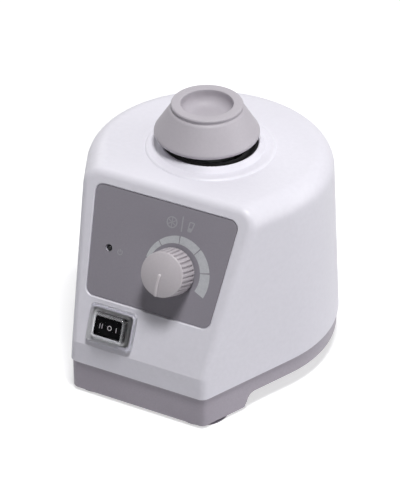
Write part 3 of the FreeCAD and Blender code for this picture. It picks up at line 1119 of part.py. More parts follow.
cans = [cylinder("can_radius", "can_height", "can_x", f"{side} * can_pitch", "-can_height") for side in SIDES]
node(behind_board(group(*cans)), "filter_capacitors")
triac = block("triac_width", "triac_thick", "triac_height", "sink_x", "sink_thick + triac_thick / 2",
              "-triac_height")
node(behind_board(group(triac)), "triac")
sink_plate = block("sink_length", "sink_thick", "sink_height", "sink_x", "sink_thick / 2", "-sink_height")
sink_fins = [block("fin_thick", "fin_depth", "sink_height", f"sink_x + {spot} * fin_pitch", "-fin_depth / 2",
                   "-sink_height") for spot in (-2, -1, 0, 1, 2)]
node(behind_board(fuse(sink_plate, *sink_fins)), "heat_sink")
terminals = block("terminal_length", "terminal_width", "terminal_height", "terminal_x", "0",
                  "-terminal_height")
node(behind_board(group(terminals)), "terminal_block")

# Power inlet at the back: flange, body, socket with two cut corners, and its three pins
inlet = prism("inlet", rectangle("flange_length", "flange_width"), "flange_thick", "flange_corner")
pad(inlet, draw(inlet, "XY_Plane", rectangle("inlet_length", "inlet_width"), "-inlet_depth"), "inlet_depth")
half_length, half_width = "(socket_length / 2)", "(socket_width / 2)"
corner_level = f"-{half_width} + socket_corner"
socket = [(half_length, corner_level), (half_length, half_width), (f"-{half_length}", half_width),
          (f"-{half_length}", corner_level), (f"-{half_length} + socket_corner", f"-{half_width}"),
          (f"{half_length} - socket_corner", f"-{half_width}")]
pocket(inlet, draw(inlet, "XY_Plane", socket, "flange_thick"), "flange_thick + socket_depth")
PIN_END = "(inlet_depth + tab_length)"
pins = [block("pin_thick", "pin_width", f"{PIN_END} - pin_sink", x, y, f"-{PIN_END}")
        for x, y in (("-pin_pitch", "pin_offset"), ("pin_pitch", "pin_offset"), ("0", "-pin_offset"))]
pin_set = group(*pins)
node(place_at_back(cut(inlet, pin_set)), "power_inlet")
pin_copy = group(*pins)
node(place_at_back(pin_copy), "inlet_pins")

# Touch switch under the carriage plate, on its bracket on the ballast plate
TOUCH_TOP = f"({PLATE} - touch_gap)"
TOUCH_FOOT = f"({TOUCH_TOP} - touch_height)"
WELL_FOOT = f"({TOUCH_TOP} - plunger_well)"
touch_case = block("touch_thick", "touch_length", "touch_height", "touch_x", "motor_axis_y", TOUCH_FOOT)
well = block("plunger_thick + 2 * slack", "plunger_width + 2 * slack", "plunger_well", "touch_x",
             "motor_axis_y", WELL_FOOT)
SHEET_X = "(touch_x + touch_thick / 2 + sheet_metal / 2)"
SHEET_OUTSIDE = "(touch_x + touch_thick / 2 + sheet_metal)"
TOUCH_SPOTS = [f"motor_axis_y + {side} * touch_screw_pitch" for side in SIDES]
FOOT_X = "(touch_x - bracket_screw_in)"
FOOT_LENGTH = "(touch_thick + 2 * sheet_metal + bracket_toe)"
BRACKET_WIDTH = "(touch_length + 2 * bracket_edge)"


def sideways(radius, length, start, y, z):
    """A rod along X from a starting point."""
    item = cylinder(radius, length)
    item.Placement = Placement(Vector(), Rotation(Vector(0, 1, 0), 90))
    return place(item, start, y, z)


TOUCH_MIDDLE = f"({TOUCH_FOOT} + touch_screw_level)"
through = [sideways("touch_screw + fit", "4 * touch_thick", "touch_x - 2 * touch_thick", y, TOUCH_MIDDLE)
           for y in TOUCH_SPOTS]
down = [cylinder("bracket_screw + fit", "3 * sheet_metal", FOOT_X, y, f"{BALLAST_TOP} - sheet_metal")
        for y in TOUCH_SPOTS]
node(cut(touch_case, group(well, *through)), "touch_switch")
upright_sheet = block("sheet_metal", BRACKET_WIDTH, f"{TOUCH_TOP} - bracket_short - {BALLAST_TOP}", SHEET_X,
                      "motor_axis_y", BALLAST_TOP)
foot_sheet = block(FOOT_LENGTH, BRACKET_WIDTH, "sheet_metal", f"{SHEET_OUTSIDE} - {FOOT_LENGTH} / 2",
                   "motor_axis_y", BALLAST_TOP)
node(cut(fuse(upright_sheet, foot_sheet), group(*through, *down)), "touch_switch_bracket")
switch_screws = []
for y in TOUCH_SPOTS:
    rod = sideways("touch_screw", "touch_thick + sheet_metal", "touch_x - touch_thick / 2", y, TOUCH_MIDDLE)
    head = sideways("touch_screw_head", "touch_head_height", SHEET_OUTSIDE, y, TOUCH_MIDDLE)
    switch_screws.append(fuse(rod, head))
    switch_screws.append(screw("bracket_screw", "sheet_metal", "bracket_screw_head", "bracket_head_height",
                               FOOT_X, y, f"{BALLAST_TOP} + sheet_metal", False))
node(group(*switch_screws), "touch_switch_screws")
node(block("plunger_thick", "plunger_width", "touch_gap + plunger_well - plunger_room - slack", "touch_x",
           "motor_axis_y", f"{WELL_FOOT} + plunger_room"), "touch_switch_plunger")

# Every object must have come out whole before anything is written
doc.recompute()
for item in doc.Objects:
    if "Invalid" in item.State or "Error" in item.State:
        raise RuntimeError(f"{item.Label} failed: {item.State}")
for item in nodes:
    if item.Shape.isNull() or not item.Shape.isValid() or not item.Shape.Solids:
        raise RuntimeError(f"{item.Label} has no sound solid")

os.makedirs("parts", exist_ok=True)
for item in nodes:
    item.Shape.exportStep(f"parts/{item.Label}.step")
    print(item.Label, len(item.Shape.Solids), "solids", round(item.Shape.Volume, 1), "mm3")
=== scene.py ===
import bmesh
import bpy
import math
import numpy as np
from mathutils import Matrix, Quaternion, Vector


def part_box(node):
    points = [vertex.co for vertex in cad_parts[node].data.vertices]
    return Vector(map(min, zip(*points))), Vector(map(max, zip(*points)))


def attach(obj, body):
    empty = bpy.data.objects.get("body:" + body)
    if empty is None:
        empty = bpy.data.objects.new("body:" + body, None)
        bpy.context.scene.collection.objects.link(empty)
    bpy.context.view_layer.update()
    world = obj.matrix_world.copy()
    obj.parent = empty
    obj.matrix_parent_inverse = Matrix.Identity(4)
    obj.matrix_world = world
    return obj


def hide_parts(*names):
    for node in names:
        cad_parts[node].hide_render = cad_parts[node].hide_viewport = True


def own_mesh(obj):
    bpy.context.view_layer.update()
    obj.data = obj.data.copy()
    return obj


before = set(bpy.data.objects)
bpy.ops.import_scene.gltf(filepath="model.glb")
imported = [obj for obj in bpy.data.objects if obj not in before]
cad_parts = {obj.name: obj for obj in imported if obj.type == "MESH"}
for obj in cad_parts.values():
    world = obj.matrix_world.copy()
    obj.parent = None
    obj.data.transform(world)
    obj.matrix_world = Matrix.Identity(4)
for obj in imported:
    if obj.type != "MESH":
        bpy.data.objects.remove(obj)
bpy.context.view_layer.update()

# Base tray: the grey foot of the mixer, moulded in ABS with its skirt stepped up along the sides.
# The housing sits on its rim. Its mould was spark-eroded, which leaves a fine even grain.


def linear(colour):
    """The linear colour of an sRGB hex value: a part up to 0.04045 is divided by 12.92, and a larger part p
    becomes ((p + 0.055) / 1.055) to the power of 2.4."""
    parts = np.array([int(colour[i:i + 2], 16) for i in (1, 3, 5)]) / 255
    return (*np.where(parts <= 0.04045, parts / 12.92, ((parts + 0.055) / 1.055) ** 2.4), 1.0)


def add(tree, kind, inputs=None, **settings):
    """One node of a material: settings are its own options, inputs its sockets' values or links."""
    node = tree.nodes.new("ShaderNode" + kind)
    for key, value in settings.items():
        setattr(node, key, value)
    for key, value in (inputs or {}).items():
        if isinstance(value, bpy.types.NodeSocket):
            tree.links.new(value, node.inputs[key])
        else:
            node.inputs[key].default_value = value
    return node


def finish(name, light, dark, grain, rough, depth=0.0, **constants):
    """A surface that wanders between two tones. One noise, as wide as the grain in millimetres, moves its
    colour, its roughness between the two values of rough, and its height by depth millimetres. A wider noise
    gathers it in patches, and constants go straight to the shader's sockets."""
    material = bpy.data.materials.new(name)
    material.use_nodes = True
    tree = material.node_tree
    shader = tree.nodes["Principled BSDF"]
    for key, value in constants.items():
        shader.inputs[key.replace("_", " ")].default_value = value
    place = add(tree, "TexCoord").outputs["Object"]
    fine = add(tree, "TexNoise", {"Vector": place, "Scale": 1000 / grain, "Detail": 3.0}).outputs["Fac"]
    wide = 1000 / (30 * grain + 12)
    broad = add(tree, "TexNoise", {"Vector": place, "Scale": wide, "Detail": 2.0}).outputs["Fac"]
    both = add(tree, "Math", {0: fine, 1: broad}, operation="MULTIPLY").outputs["Value"]
    share = add(tree, "MapRange", {"Value": both, "From Min": 0.1, "From Max": 0.42}).outputs["Result"]
    tone = add(tree, "Mix", {0: share, 6: linear(dark), 7: linear(light)}, data_type="RGBA").outputs[2]
    gloss = add(tree, "MapRange", {"Value": share, "To Min": rough[1], "To Max": rough[0]}).outputs["Result"]
    tree.links.new(tone, shader.inputs["Base Color"])
    tree.links.new(gloss, shader.inputs["Roughness"])
    if depth:
        bump = add(tree, "Bump", {"Height": fine, "Distance": depth / 1000, "Strength": 1.0})
        tree.links.new(bump.outputs["Normal"], shader.inputs["Normal"])
    return material


def dress(material, *names):
    """Gives CAD nodes a finish."""
    for name in names:
        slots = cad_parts[name].data.materials
        slots.clear()
        slots.append(material)


# Spark grain of about 0.3 mm, drawn at 0.9 mm so that it shows.
grey_abs = finish("grey_moulded_abs", "#B3ACB7", "#AAA3AE", 0.9, (0.42, 0.52), 0.012, IOR=1.53)
dress(grey_abs, "base_tray")

# Rubber feet: four grey rubber suction cups under the tray, each pushed into its boss by its stem.
# Each is moulded with a thin rim and a hollow sole, which grips the bench.


def span(node):
    """The lowest and highest corner of a CAD node in millimetres."""
    return np.array(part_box(node)) * 1000


def piece_of(name, grids, closed=(False, True)):
    """A mesh of one or more grids of points in millimetres, each row x column x 3. Quads join neighbours,
    and a closed direction joins its last points to its first. Rows that shrink to a point become poles."""
    grids = np.asarray(grids)
    if grids.ndim == 3:
        grids = grids[None]
    count, rows, columns = grids.shape[:3]
    down = np.arange(rows if closed[0] else rows - 1)
    along = np.arange(columns if closed[1] else columns - 1)
    copy, i, j = np.meshgrid(np.arange(count), down, along, indexing="ij")
    below, beside = (i + 1) % rows, (j + 1) % columns
    first = copy * rows * columns
    corners = [first + i * columns + j, first + i * columns + beside, first + below * columns + beside,
               first + below * columns + j]
    mesh = bpy.data.meshes.new(name)
    faces = np.stack(corners, axis=-1).reshape(-1, 4)
    mesh.from_pydata((grids.reshape(-1, 3) / 1000).tolist(), [], faces.tolist())
    shape = bmesh.new()
    shape.from_mesh(mesh)
    bmesh.ops.remove_doubles(shape, verts=shape.verts, dist=1e-7)
    if closed[1]:
        bmesh.ops.recalc_face_normals(shape, faces=shape.faces)
    shape.to_mesh(mesh)
    shape.free()
    mesh.shade_smooth()
    mesh.set_sharp_from_angle(angle=math.radians(38))
    piece = bpy.data.objects.new(name, mesh)
    bpy.context.scene.collection.objects.link(piece)
    return piece


def settle(piece, material, body, slot, *nodes):
    """Gives a new piece its finish and body, and hides the CAD nodes that it stands in for."""
    piece.data.materials.append(material)
    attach(piece, body)
    if nodes:
        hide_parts(*nodes)


def turned(profile, spots, steps=72):
    """Surfaces of revolution: a profile of (radius, height) carried round an upright axis at each spot, so
    that a point is (x + r cos t, y + r sin t, z)."""
    r, z = np.asarray(profile, float).T
    t = np.arange(steps) * 2 * np.pi / steps
    ring = np.stack([r[:, None] * np.cos(t), r[:, None] * np.sin(t), z[:, None] + 0 * t], axis=-1)
    return np.stack([ring + np.array([x, y, 0.0]) for x, y in spots])


def bend(centre, radius, start, end, count=7):
    """Points of an arc in a profile, from one angle to another in degrees."""
    t = np.radians(np.linspace(start, end, count))
    return np.stack([centre[0] + radius * np.cos(t), centre[1] + radius * np.sin(t)], axis=1)


foot_low, foot_high = span("rubber_feet")
foot_radius = 12.6
motor_y = 6.9
# The front feet lie in the corners, the rear ones on a ray from the motor's axis, 57 degrees from the side.
rear_ray = math.radians(57)
rear_foot = foot_high[1] - foot_radius
foot_places = ((foot_high[0] - foot_radius, foot_low[1] + foot_radius),
               ((rear_foot - motor_y) / math.tan(rear_ray), rear_foot))
foot_spots = [(side * x, y) for x, y in foot_places for side in (-1, 1)]
foot_profile = np.concatenate([
    [(0, 1.5), (5.0, 1.35), (8.5, 0.85), (10.9, 0.2), (11.3, 0.03)], bend((11.5, 0.2), 0.2, 250, 270, 3),
    bend((12.3, 0.3), 0.3, -90, 40, 7), [(11.3, 0.75), (9.3, 1.08), (7.6, 1.75), (6.2, 2.6)],
    bend((5.2, 2.9), 0.5, 30, 90, 5), [(3.0, 3.4), (3.0, 11.4), (2.7, 11.7), (0, 11.7)]])
# Soft grey rubber, matt, a little darker than the tray.
foot_rubber = finish("soft_grey_rubber", "#8D8791", "#837D87", 0.7, (0.6, 0.75), 0.01, IOR=1.52)
feet = piece_of("feet", turned(foot_profile, foot_spots, 64))
settle(feet, foot_rubber, "chassis", "foot_rubber", "rubber_feet")

# Ballast, pillars and the screws from below: zinc-plated steel fixings and a plate sawn from black bar.
# They hold the tray, the plate and the housing together, and carry the sprung motor plate.

# Zinc plate has a faint bluish grain about as wide as its crystals, drawn at 1.5 mm.
zinc_plate = finish("zinc_plated_steel", "#C3C6C9", "#A9ADB2", 1.5, (0.28, 0.42), 0.004, Metallic=1.0)
dress(zinc_plate, "housing_screws", "support_pillars", "pillar_nuts", "damper_washers", "damper_screws",
      "motor_bolts", "motor_nuts", "touch_switch_screws", "board_screws", "hub_set_screw", "bearing_washer",
      "bearing_screw")
# Mill scale on hot-rolled bar: dark, patchy, with a dull shine.
mill_scale = finish("hot_rolled_steel", "#5C5B5D", "#3E3D40", 3.0, (0.45, 0.65), 0.02, Metallic=0.8)
dress(mill_scale, "ballast_plate")

# Upper housing: the white body, a casting with a baked white coat, drafted towards its rounded top.
# The coat flows a little before it sets, which leaves a soft orange peel and no sharp edge.

# Orange peel waves are some 2 mm wide and a few thousandths high.
white_coat = finish("white_baked_coat", "#EBE9F2", "#E6E4ED", 2.2, (0.36, 0.44), 0.006, IOR=1.5)
dress(white_coat, "upper_housing")

# Opening gasket and drip shield: a black rubber ring set in the collar round the drive, with a gutter,
# and the black disc above it that turns spilt liquid away from the opening.

# Rubber filled with carbon black: dull and nearly black, with the fine skin of its mould.
black_rubber = finish("black_moulded_rubber", "#2B2A2C", "#1E1D1F", 0.7, (0.62, 0.78), 0.02, IOR=1.52)
gasket_low, gasket_high = span("opening_gasket")
gasket_sole, gasket_top = gasket_low[2], gasket_high[2]
gasket_step = gasket_sole + 2.0
gasket_flange = gasket_high[0]
gasket_rim = gasket_flange - 3.0
gasket_bore = 17.4
gutter = gasket_top - 1.9
gasket_profile = np.concatenate([
    [(gasket_bore, gasket_sole), (gasket_flange, gasket_sole), (gasket_flange, gasket_step),
     (gasket_rim, gasket_step)], bend((gasket_rim - 0.35, gasket_top - 0.35), 0.35, 0, 90, 5),
    [(gasket_rim - 1.1, gasket_top), (19.9, gutter), (19.3, gutter), (18.7, gasket_top - 0.9)],
    bend((18.0, gasket_top - 0.75), 0.45, 20, 160, 7)])
gasket_middle = (0.0, (gasket_low[1] + gasket_high[1]) / 2)
gasket = piece_of("gasket_ring", turned(gasket_profile, [gasket_middle], 128), closed=(True, True))
settle(gasket, black_rubber, "chassis", "black_rubber", "opening_gasket")
# Glass-filled nylon: black with a faint grey fibre bloom.
black_nylon = finish("black_filled_nylon", "#1C1C1E", "#151517", 0.8, (0.4, 0.52), 0.008, IOR=1.53)
dress(black_nylon, "drip_shield")

# Carriage plate on its rubber dampers: a sheet-steel plate that the motor hangs from. Pressing the cup
# squeezes the four barrel-shaped dampers between the plate and the pillars.
dress(zinc_plate, "carriage_plate")
damper_spots = [(x, motor_y + y) for x in (-34.0, 34.0) for y in (-31.0, 31.0)]
damper_low, damper_high = 76.0, 80.0
damper_bore = 3.2
# The side swells by 0.7 mm between its ends, as the root of a sine.
half_turn = np.linspace(0, np.pi, 9)
barrel = 6.3 + 0.7 * np.sin(half_turn) ** 0.5
rise = (damper_low + damper_high) / 2 - (damper_high - damper_low) / 2 * np.cos(half_turn)
damper_profile = np.concatenate([
    [(damper_bore, damper_low)], np.stack([barrel, rise], axis=1), [(damper_bore, damper_high)]])
dampers = piece_of("dampers", turned(damper_profile, damper_spots, 48), closed=(True, True))
settle(dampers, black_rubber, "chassis", "black_rubber", "rubber_dampers")
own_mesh(dampers)

# Shaded-pole motor: a stack of stamped silicon-steel sheets, a bobbin wound with enamelled copper wire on
# its limb, and two die-cast brackets that hold the bronze bushes.

# Silicon steel is grey and dull, and the stack shows the edge of every sheet.
laminations = finish("silicon_steel_sheets", "#8C8E92", "#6E7074", 1.2, (0.42, 0.6), 0.0, Metallic=0.85)
tree = laminations.node_tree
place = tree.nodes["Texture Coordinate"].outputs["Object"]
height = add(tree, "SeparateXYZ", {"Vector": place}).outputs["Z"]
# One sheet is 0.5 mm thick, so the joints between sheets are ripples of that pitch.
sheet_waves = 2 * math.pi / 0.0005
ripple = add(tree, "Math", {0: height, 1: sheet_waves}, operation="MULTIPLY").outputs["Value"]
ripple = add(tree, "Math", {0: ripple}, operation="SINE").outputs["Value"]
edges = add(tree, "Bump", {"Height": ripple, "Distance": 0.00004, "Strength": 1.0}).outputs["Normal"]
tree.links.new(edges, tree.nodes["Principled BSDF"].inputs["Normal"])
dress(laminations, "stator_core", "rotor_core")
# Die-cast aluminium: dull, with the skin of the die.
cast_metal = finish("die_cast_aluminium", "#B9BBBE", "#9EA0A4", 1.6, (0.42, 0.58), 0.02, Metallic=0.95)
dress(cast_metal, "motor_top_bracket", "motor_bottom_bracket", "eccentric_hub", "cup_carrier", "heat_sink")
# Sintered bronze is a dull brown, with pores that hold the oil.
sintered_bronze = finish("sintered_bronze", "#A9814F", "#8A6537", 0.6, (0.4, 0.55), 0.01, Metallic=1.0)
dress(sintered_bronze, "shaft_bushes", "bearing_cage")
# Nylon without pigment is ivory and slightly waxy.
bobbin_nylon = finish("natural_nylon", "#D9D3C2", "#CCC5B2", 1.5, (0.4, 0.5), 0.004, IOR=1.53)
dress(bobbin_nylon, "coil_bobbin")


def wound(middle, half, build, corner, turns):
    """A winding round a limb that lies along Y: a rounded rectangle in X and Z, carried along Y from one
    flange to the other. The outside swells by half a wire at each turn, |sin(turns pi v)|, and the inside is
    plain."""
    t = np.linspace(0, 2 * np.pi, 64, endpoint=False)
    v = np.linspace(0, 1, turns * 6 + 1)
    half_wire = half[1] / turns
    swell = half_wire * (np.abs(np.sin(np.pi * turns * v)) - 1)
    grow = np.concatenate([build + swell, np.zeros(2)])
    along = np.concatenate([middle[1] + half[1] * (2 * v - 1), [middle[1] + half[1], middle[1] - half[1]]])
    reach = corner + grow[:, None]
    x = middle[0] + np.sign(np.cos(t)) * (half[0] - corner) + reach * np.cos(t)
    z = middle[2] + np.sign(np.sin(t)) * (half[2] - corner) + reach * np.sin(t)
    return np.stack([x, np.repeat(along[:, None], len(t), axis=1), z], axis=-1)


# Enamel over copper is red-brown, with the gloss of varnish.
enamelled_wire = finish("enamelled_copper_wire", "#B5622F", "#8E4520", 1.0, (0.22, 0.34), 0.0, Metallic=0.9,
                        Coat_Weight=0.6)
coil_middle = (-39.0, motor_y, 59.0)
coil_half = (6.2, 12.2, 12.2)
winding = wound(coil_middle, coil_half, build=5.9, corner=0.6, turns=24)
coil = piece_of("coil_winding", winding, closed=(True, True))
settle(coil, enamelled_wire, "motor_carriage", "copper_wire", "motor_coil")

# Rotor shaft, ball bearing and cup carrier: an eccentric pin turns the cup's axis round the motor's.
# The shaft and the bearing's rings and balls are ground from hardened steel.

# Ground steel is bright, with a very fine grain.
ground_steel = finish("ground_bearing_steel", "#D5D6D8", "#BFC0C3", 0.8, (0.12, 0.22), 0.0, Metallic=1.0)
dress(ground_steel, "motor_shaft", "bearing_inner_ring", "bearing_outer_ring", "bearing_balls",
      "potentiometer_shaft")

# Rubber cup: the grey head that the tube is pressed into. It is moulded in nitrile rubber, with a bead round
# its top ring, a dished recess and a rounded foot, and is pushed over the carrier's post.
cup_low, cup_high = span("rubber_cup")
cup_axis = (cup_low[:2] + cup_high[:2]) / 2
cup_top = cup_high[2]
# The dish has a short wall, a wide round corner and a floor that is hollow by 0.1 mm.
dish_wall, dish_corner, dish_flat = -2.4, 5.3, 7.0
dish = np.linspace(dish_flat, 0, 12)
dish_floor = dish_wall - dish_corner - 0.1 * (1 - (dish / dish_flat) ** 2)
cup_profile = np.concatenate([
    [(0, -9.1), (9.05, -9.1), (9.05, -16.7), (23.2, -16.7)], bend((23.4, -15.1), 1.6, -88, 32, 12),
    np.stack([np.linspace(24.7, 17.6, 18), np.linspace(-14.15, -2.93, 18)], axis=1),
    [(17.1, -2.62), (16.85, -2.4), (16.78, -2.1)], bend((16.2, -0.85), 0.85, -38, 90, 11),
    [(14.6, 0.0)], bend((12.9, -0.6), 0.6, 90, 180, 8),
    bend((dish_flat, dish_wall), dish_corner, 0, -90, 18),
    np.stack([dish, dish_floor], axis=1)]) + (0.0, cup_top)
# Moulded rubber is matt and even, with a light bloom that gathers in soft patches.
grey_rubber = finish("grey_nitrile_rubber", "#BBB6BD", "#B6B1B8", 1.1, (0.5, 0.58), 0.003, IOR=1.52)
cup = piece_of("cup", turned(cup_profile, [cup_axis], 144))
settle(cup, grey_rubber, "head", "cup_rubber", "rubber_cup")

# Panel film: grey polycarbonate printed from behind, stuck in a recess of the sloping front.
# The print is a broken scale that widens as the speed rises, with the touch and tube marks above it.

# The front leans back by 23.2 degrees from a fold 28.7 mm above the bench.
slope = math.radians(23.2)
fold = np.array([0.0, -67.8271, 28.7])


def front(across, up, lift):
    """Points on the sloping front, from their place across it, up it from the fold, and out of it."""
    across, up, lift = np.broadcast_arrays(*(np.asarray(part, float) for part in (across, up, lift)))
    y = fold[1] + up * math.sin(slope) - lift * math.cos(slope)
    z = fold[2] + up * math.cos(slope) + lift * math.sin(slope)
    return np.stack([across, y, z], axis=-1)


def stroke(path, width, lift, joined=False):
    """A printed line: a path of (across, up) points widened by half its width along its normal to each side.
    A joined path runs back into its start."""
    path = np.asarray(path, float)
    way = np.roll(path, -1, axis=0) - np.roll(path, 1, axis=0) if joined else np.gradient(path, axis=0)
    way /= np.linalg.norm(way, axis=1, keepdims=True)
    side = np.stack([-way[:, 1], way[:, 0]], axis=1) * np.reshape(width, (-1, 1)) / 2
    edges = np.stack([path + side, path - side], axis=1)
    edges = np.concatenate([edges, edges[:1]]) if joined else edges
    return front(edges[..., 0], edges[..., 1], lift(edges[..., 0]) if callable(lift) else lift)


def circle(middle, radius, start=0.0, end=360.0, count=49):
    """A path round a middle, clockwise from the top, between two angles in degrees."""
    t = np.radians(np.linspace(start, end, count))
    return np.stack([middle[0] + radius * np.sin(t), middle[1] + radius * np.cos(t)], axis=1)


def printed(name, strokes, ink, body, slot):
    """Joins strokes of one ink into a piece, as thick as a screen print, 0.04 mm."""
    pieces = [piece_of(f"{name}.{index}", grid, closed=(False, False)) for index, grid in enumerate(strokes)]
    shape = bmesh.new()
    for piece in pieces:
        shape.from_mesh(piece.data)
        old = piece.data
        bpy.data.objects.remove(piece)
        bpy.data.meshes.remove(old)
    mesh = bpy.data.meshes.new(name)
    shape.to_mesh(mesh)
    shape.free()
    mesh.shade_flat()
    piece = bpy.data.objects.new(name, mesh)
    bpy.context.scene.collection.objects.link(piece)
    layer = piece.modifiers.new("ink", "SOLIDIFY")
    layer.thickness = 0.00004
    layer.offset = -1.0
    settle(piece, ink, body, slot)


# Velvet-faced film: a fine even matt, with grain too small to see drawn at 0.8 mm.
grey_film = finish("grey_polycarbonate_film", "#97939C", "#928E97", 0.8, (0.4, 0.48), 0.003, IOR=1.58,
                   Specular_IOR_Level=0.15)
dress(grey_film, "panel_overlay")
# Screen ink lies flat and even, and is paler on the scale than on the marks.
pale_ink = finish("pale_grey_screen_ink", "#C9CACE", "#B7B9BE", 0.9, (0.42, 0.52), 0.002, IOR=1.5)
dim_ink = finish("dim_grey_screen_ink", "#A9A8AE", "#A3A2A9", 0.9, (0.42, 0.52), 0.002, IOR=1.5)
film_face = -0.5
print_lift = film_face + 0.05
scale_middle = (9.7, 45.9)
scale_inside = 13.4
scale_end = 117.0
segment_turn = 39.0
half_gap = 0.9
segments = []
for start in np.arange(-scale_end, scale_end, segment_turn):
    t = np.linspace(start + half_gap, start + segment_turn - half_gap, 25)
    outer = np.interp(t, [-scale_end, -40, 0, scale_end], [14.6, 16.1, 17.2, 18.7])
    path = circle(scale_middle, (scale_inside + outer) / 2, t[0], t[-1], 25)
    segments.append(stroke(path, outer - scale_inside, print_lift))
printed("speed_scale", segments, pale_ink, "chassis", "panel_film")


def softened(corners, radius, count=5):
    """A closed path with each corner P rounded by the curve (1-s)^2 A + 2s(1-s) P + s^2 B between the points
    A and B at the radius from P on its two sides."""
    corners = np.asarray(corners, float)
    before = np.roll(corners, 1, axis=0) - corners
    after = np.roll(corners, -1, axis=0) - corners
    a = corners + radius * before / np.linalg.norm(before, axis=1, keepdims=True)
    b = corners + radius * after / np.linalg.norm(after, axis=1, keepdims=True)
    s = np.linspace(0, 1, count)[None, :, None]
    curve = (1 - s) ** 2 * a[:, None] + 2 * s * (1 - s) * corners[:, None] + s ** 2 * b[:, None]
    return curve.reshape(-1, 2)


# The marks over the scale: a bar between a wheel with six spokes and a tube with its filling.
wheel = np.array([4.3, 68.4])
spokes = [wheel + np.outer([0.3, 1.3, 2.4], [math.sin(a), math.cos(a)]) for a in np.arange(6) * math.pi / 3]
marks = [stroke([(9.4, 72.4), (9.55, 68.8), (9.7, 65.2)], 0.55, print_lift),
         stroke(circle(wheel, 2.5), 0.5, print_lift), stroke(circle(wheel, 0.28, count=17), 0.5, print_lift),
         *(stroke(spoke, 0.4, print_lift) for spoke in spokes),
         stroke(softened([(13.25, 70.7), (15.6, 70.55), (14.4, 66.2), (12.8, 66.25)], 0.5), 0.5, print_lift,
                joined=True),
         stroke([(13.7, 67.9), (13.62, 66.4)], [1.6, 1.3], print_lift)]
printed("mode_marks", marks, dim_ink, "chassis", "panel_film")
# A power symbol stands beside the indicator's hole.
lamp_mark = np.array([-18.8, 47.7])
printed("lamp_mark", [stroke(circle(lamp_mark, 1.2, 32, 328), 0.32, print_lift),
                      stroke(lamp_mark + [(0.0, 0.2), (0.0, 1.6)], 0.32, print_lift)],
        dim_ink, "chassis", "panel_film")

# Speed control: a rotary potentiometer held in the wall by its nut, and the ribbed knob on its shaft.
# The knob is moulded in warm grey ABS with thirty grooves, a low dome and a raised pointer.
dress(black_nylon, "potentiometer_body")
dress(zinc_plate, "potentiometer_nut")
knob_axis = (9.6, 46.3)
knob_top, knob_dome, dome_radius = 14.5, 2.15, 10.4
face = np.linspace(10.2, 0, 22)
face_lift = knob_top - knob_dome * (face / dome_radius) ** 2
knob_profile = np.concatenate([
    [(0, 11.2), (3.05, 11.2), (3.05, 3.4), (5.2, 3.4), (5.2, 10.2), (8.7, 10.2), (9.3, 1.0), (11.1, 1.0)],
    bend((11.1, 1.15), 0.15, -90, 0, 4),
    np.stack([np.linspace(11.26, 10.74, 24), np.linspace(1.3, 11.6, 24)], axis=1),
    bend((9.92, 11.68), 0.8, 0, 66, 9), np.stack([face, face_lift], axis=1)])
knob_turn = np.linspace(0, 2 * np.pi, 600, endpoint=False)
radius, lift = knob_profile.T
# A groove is cut where the side stands outside the knob's wall, and runs out under the edge of the face.
groove_count, groove_depth = 30, 1.0
groove_end, groove_run = 11.9, 0.7
outside = (radius > 9.9) & (lift > 1.05)
window = np.where(outside, np.clip((groove_end - lift) / groove_run, 0, 1), 0.0)
groove = np.clip(np.cos(groove_count * knob_turn), 0, None) ** 0.6
bitten = radius[:, None] - groove_depth * window[:, None] * groove
knob = piece_of("knob", front(knob_axis[0] + bitten * np.sin(knob_turn),
                              knob_axis[1] + bitten * np.cos(knob_turn), lift[:, None]))
# ABS with a warm grey pigment, satin from its mould.
warm_abs = finish("warm_grey_abs", "#C2BCC1", "#BDB7BC", 1.0, (0.36, 0.44), 0.002, IOR=1.53)
settle(knob, warm_abs, "knob", "knob_plastic", "speed_knob")
# The pointer is a rounded ridge from a dot near the middle of the face to its lower edge.
reach = np.array([-0.75, -0.7, -0.5, -0.2, 0.2, 0.6, 1.0, 2.0, 4.0, 6.0, 8.0, 9.4, 10.0, 10.35, 10.6])
around = np.linspace(0, np.pi, 15)
half_width = np.interp(reach, [-0.75, -0.7, -0.5, 0.0, 0.6, 1.2, 10.6],
                       [0.02, 0.25, 0.55, 0.8, 0.7, 0.6, 0.66])
ridge = np.interp(reach, [-0.75, -0.5, 0.0, 1.0, 9.6, 10.6], [0.0, 0.45, 0.7, 0.7, 0.85, 0.6])
crest = knob_top - knob_dome * (np.clip(reach, 0, dome_radius) / dome_radius) ** 2
aside = half_width[:, None] * np.cos(around)
root = 0.5
point_at = math.radians(187)
pointer = piece_of("knob_pointer", front(
    knob_axis[0] + reach[:, None] * math.sin(point_at) + aside * math.cos(point_at),
    knob_axis[1] + reach[:, None] * math.cos(point_at) - aside * math.sin(point_at),
    crest[:, None] - root + (ridge[:, None] + root) * np.sin(around) ** 0.45))
# The ridge gets a paler grey than the face. This is a painted highlight for the light that its raised top
# catches.
pointer_abs = finish("pointer_abs_painted_highlight", "#D8D2D6", "#D3CDD1", 1.0, (0.36, 0.44), 0.002, IOR=1.53)
settle(pointer, pointer_abs, "knob", "knob_plastic")

# Indicator: a small lamp with an epoxy dome, which stands below its hole in the film.
# A nylon spacer holds it off the board.

# The epoxy is smoked and the lamp is off, so the dome is nearly black.
lamp_epoxy = finish("smoked_epoxy", "#17191C", "#121417", 1.0, (0.22, 0.3), 0.0, IOR=1.54,
                    Specular_IOR_Level=0.3)
dress(lamp_epoxy, "power_led")
dress(bobbin_nylon, "led_spacer")

# Rocker switch: a snap-in switch with a black nylon body and a three-position rocker. Its marks are
# filled white, and it is fixed by the barbs of its body in the wall.

# Polished nylon is black and even, and hardly shines under the boot.
gloss_nylon = finish("black_polished_nylon", "#131314", "#0F0F10", 1.2, (0.3, 0.38), 0.0, IOR=1.53,
                     Specular_IOR_Level=0.03)
dress(gloss_nylon, "switch_housing", "switch_rocker")
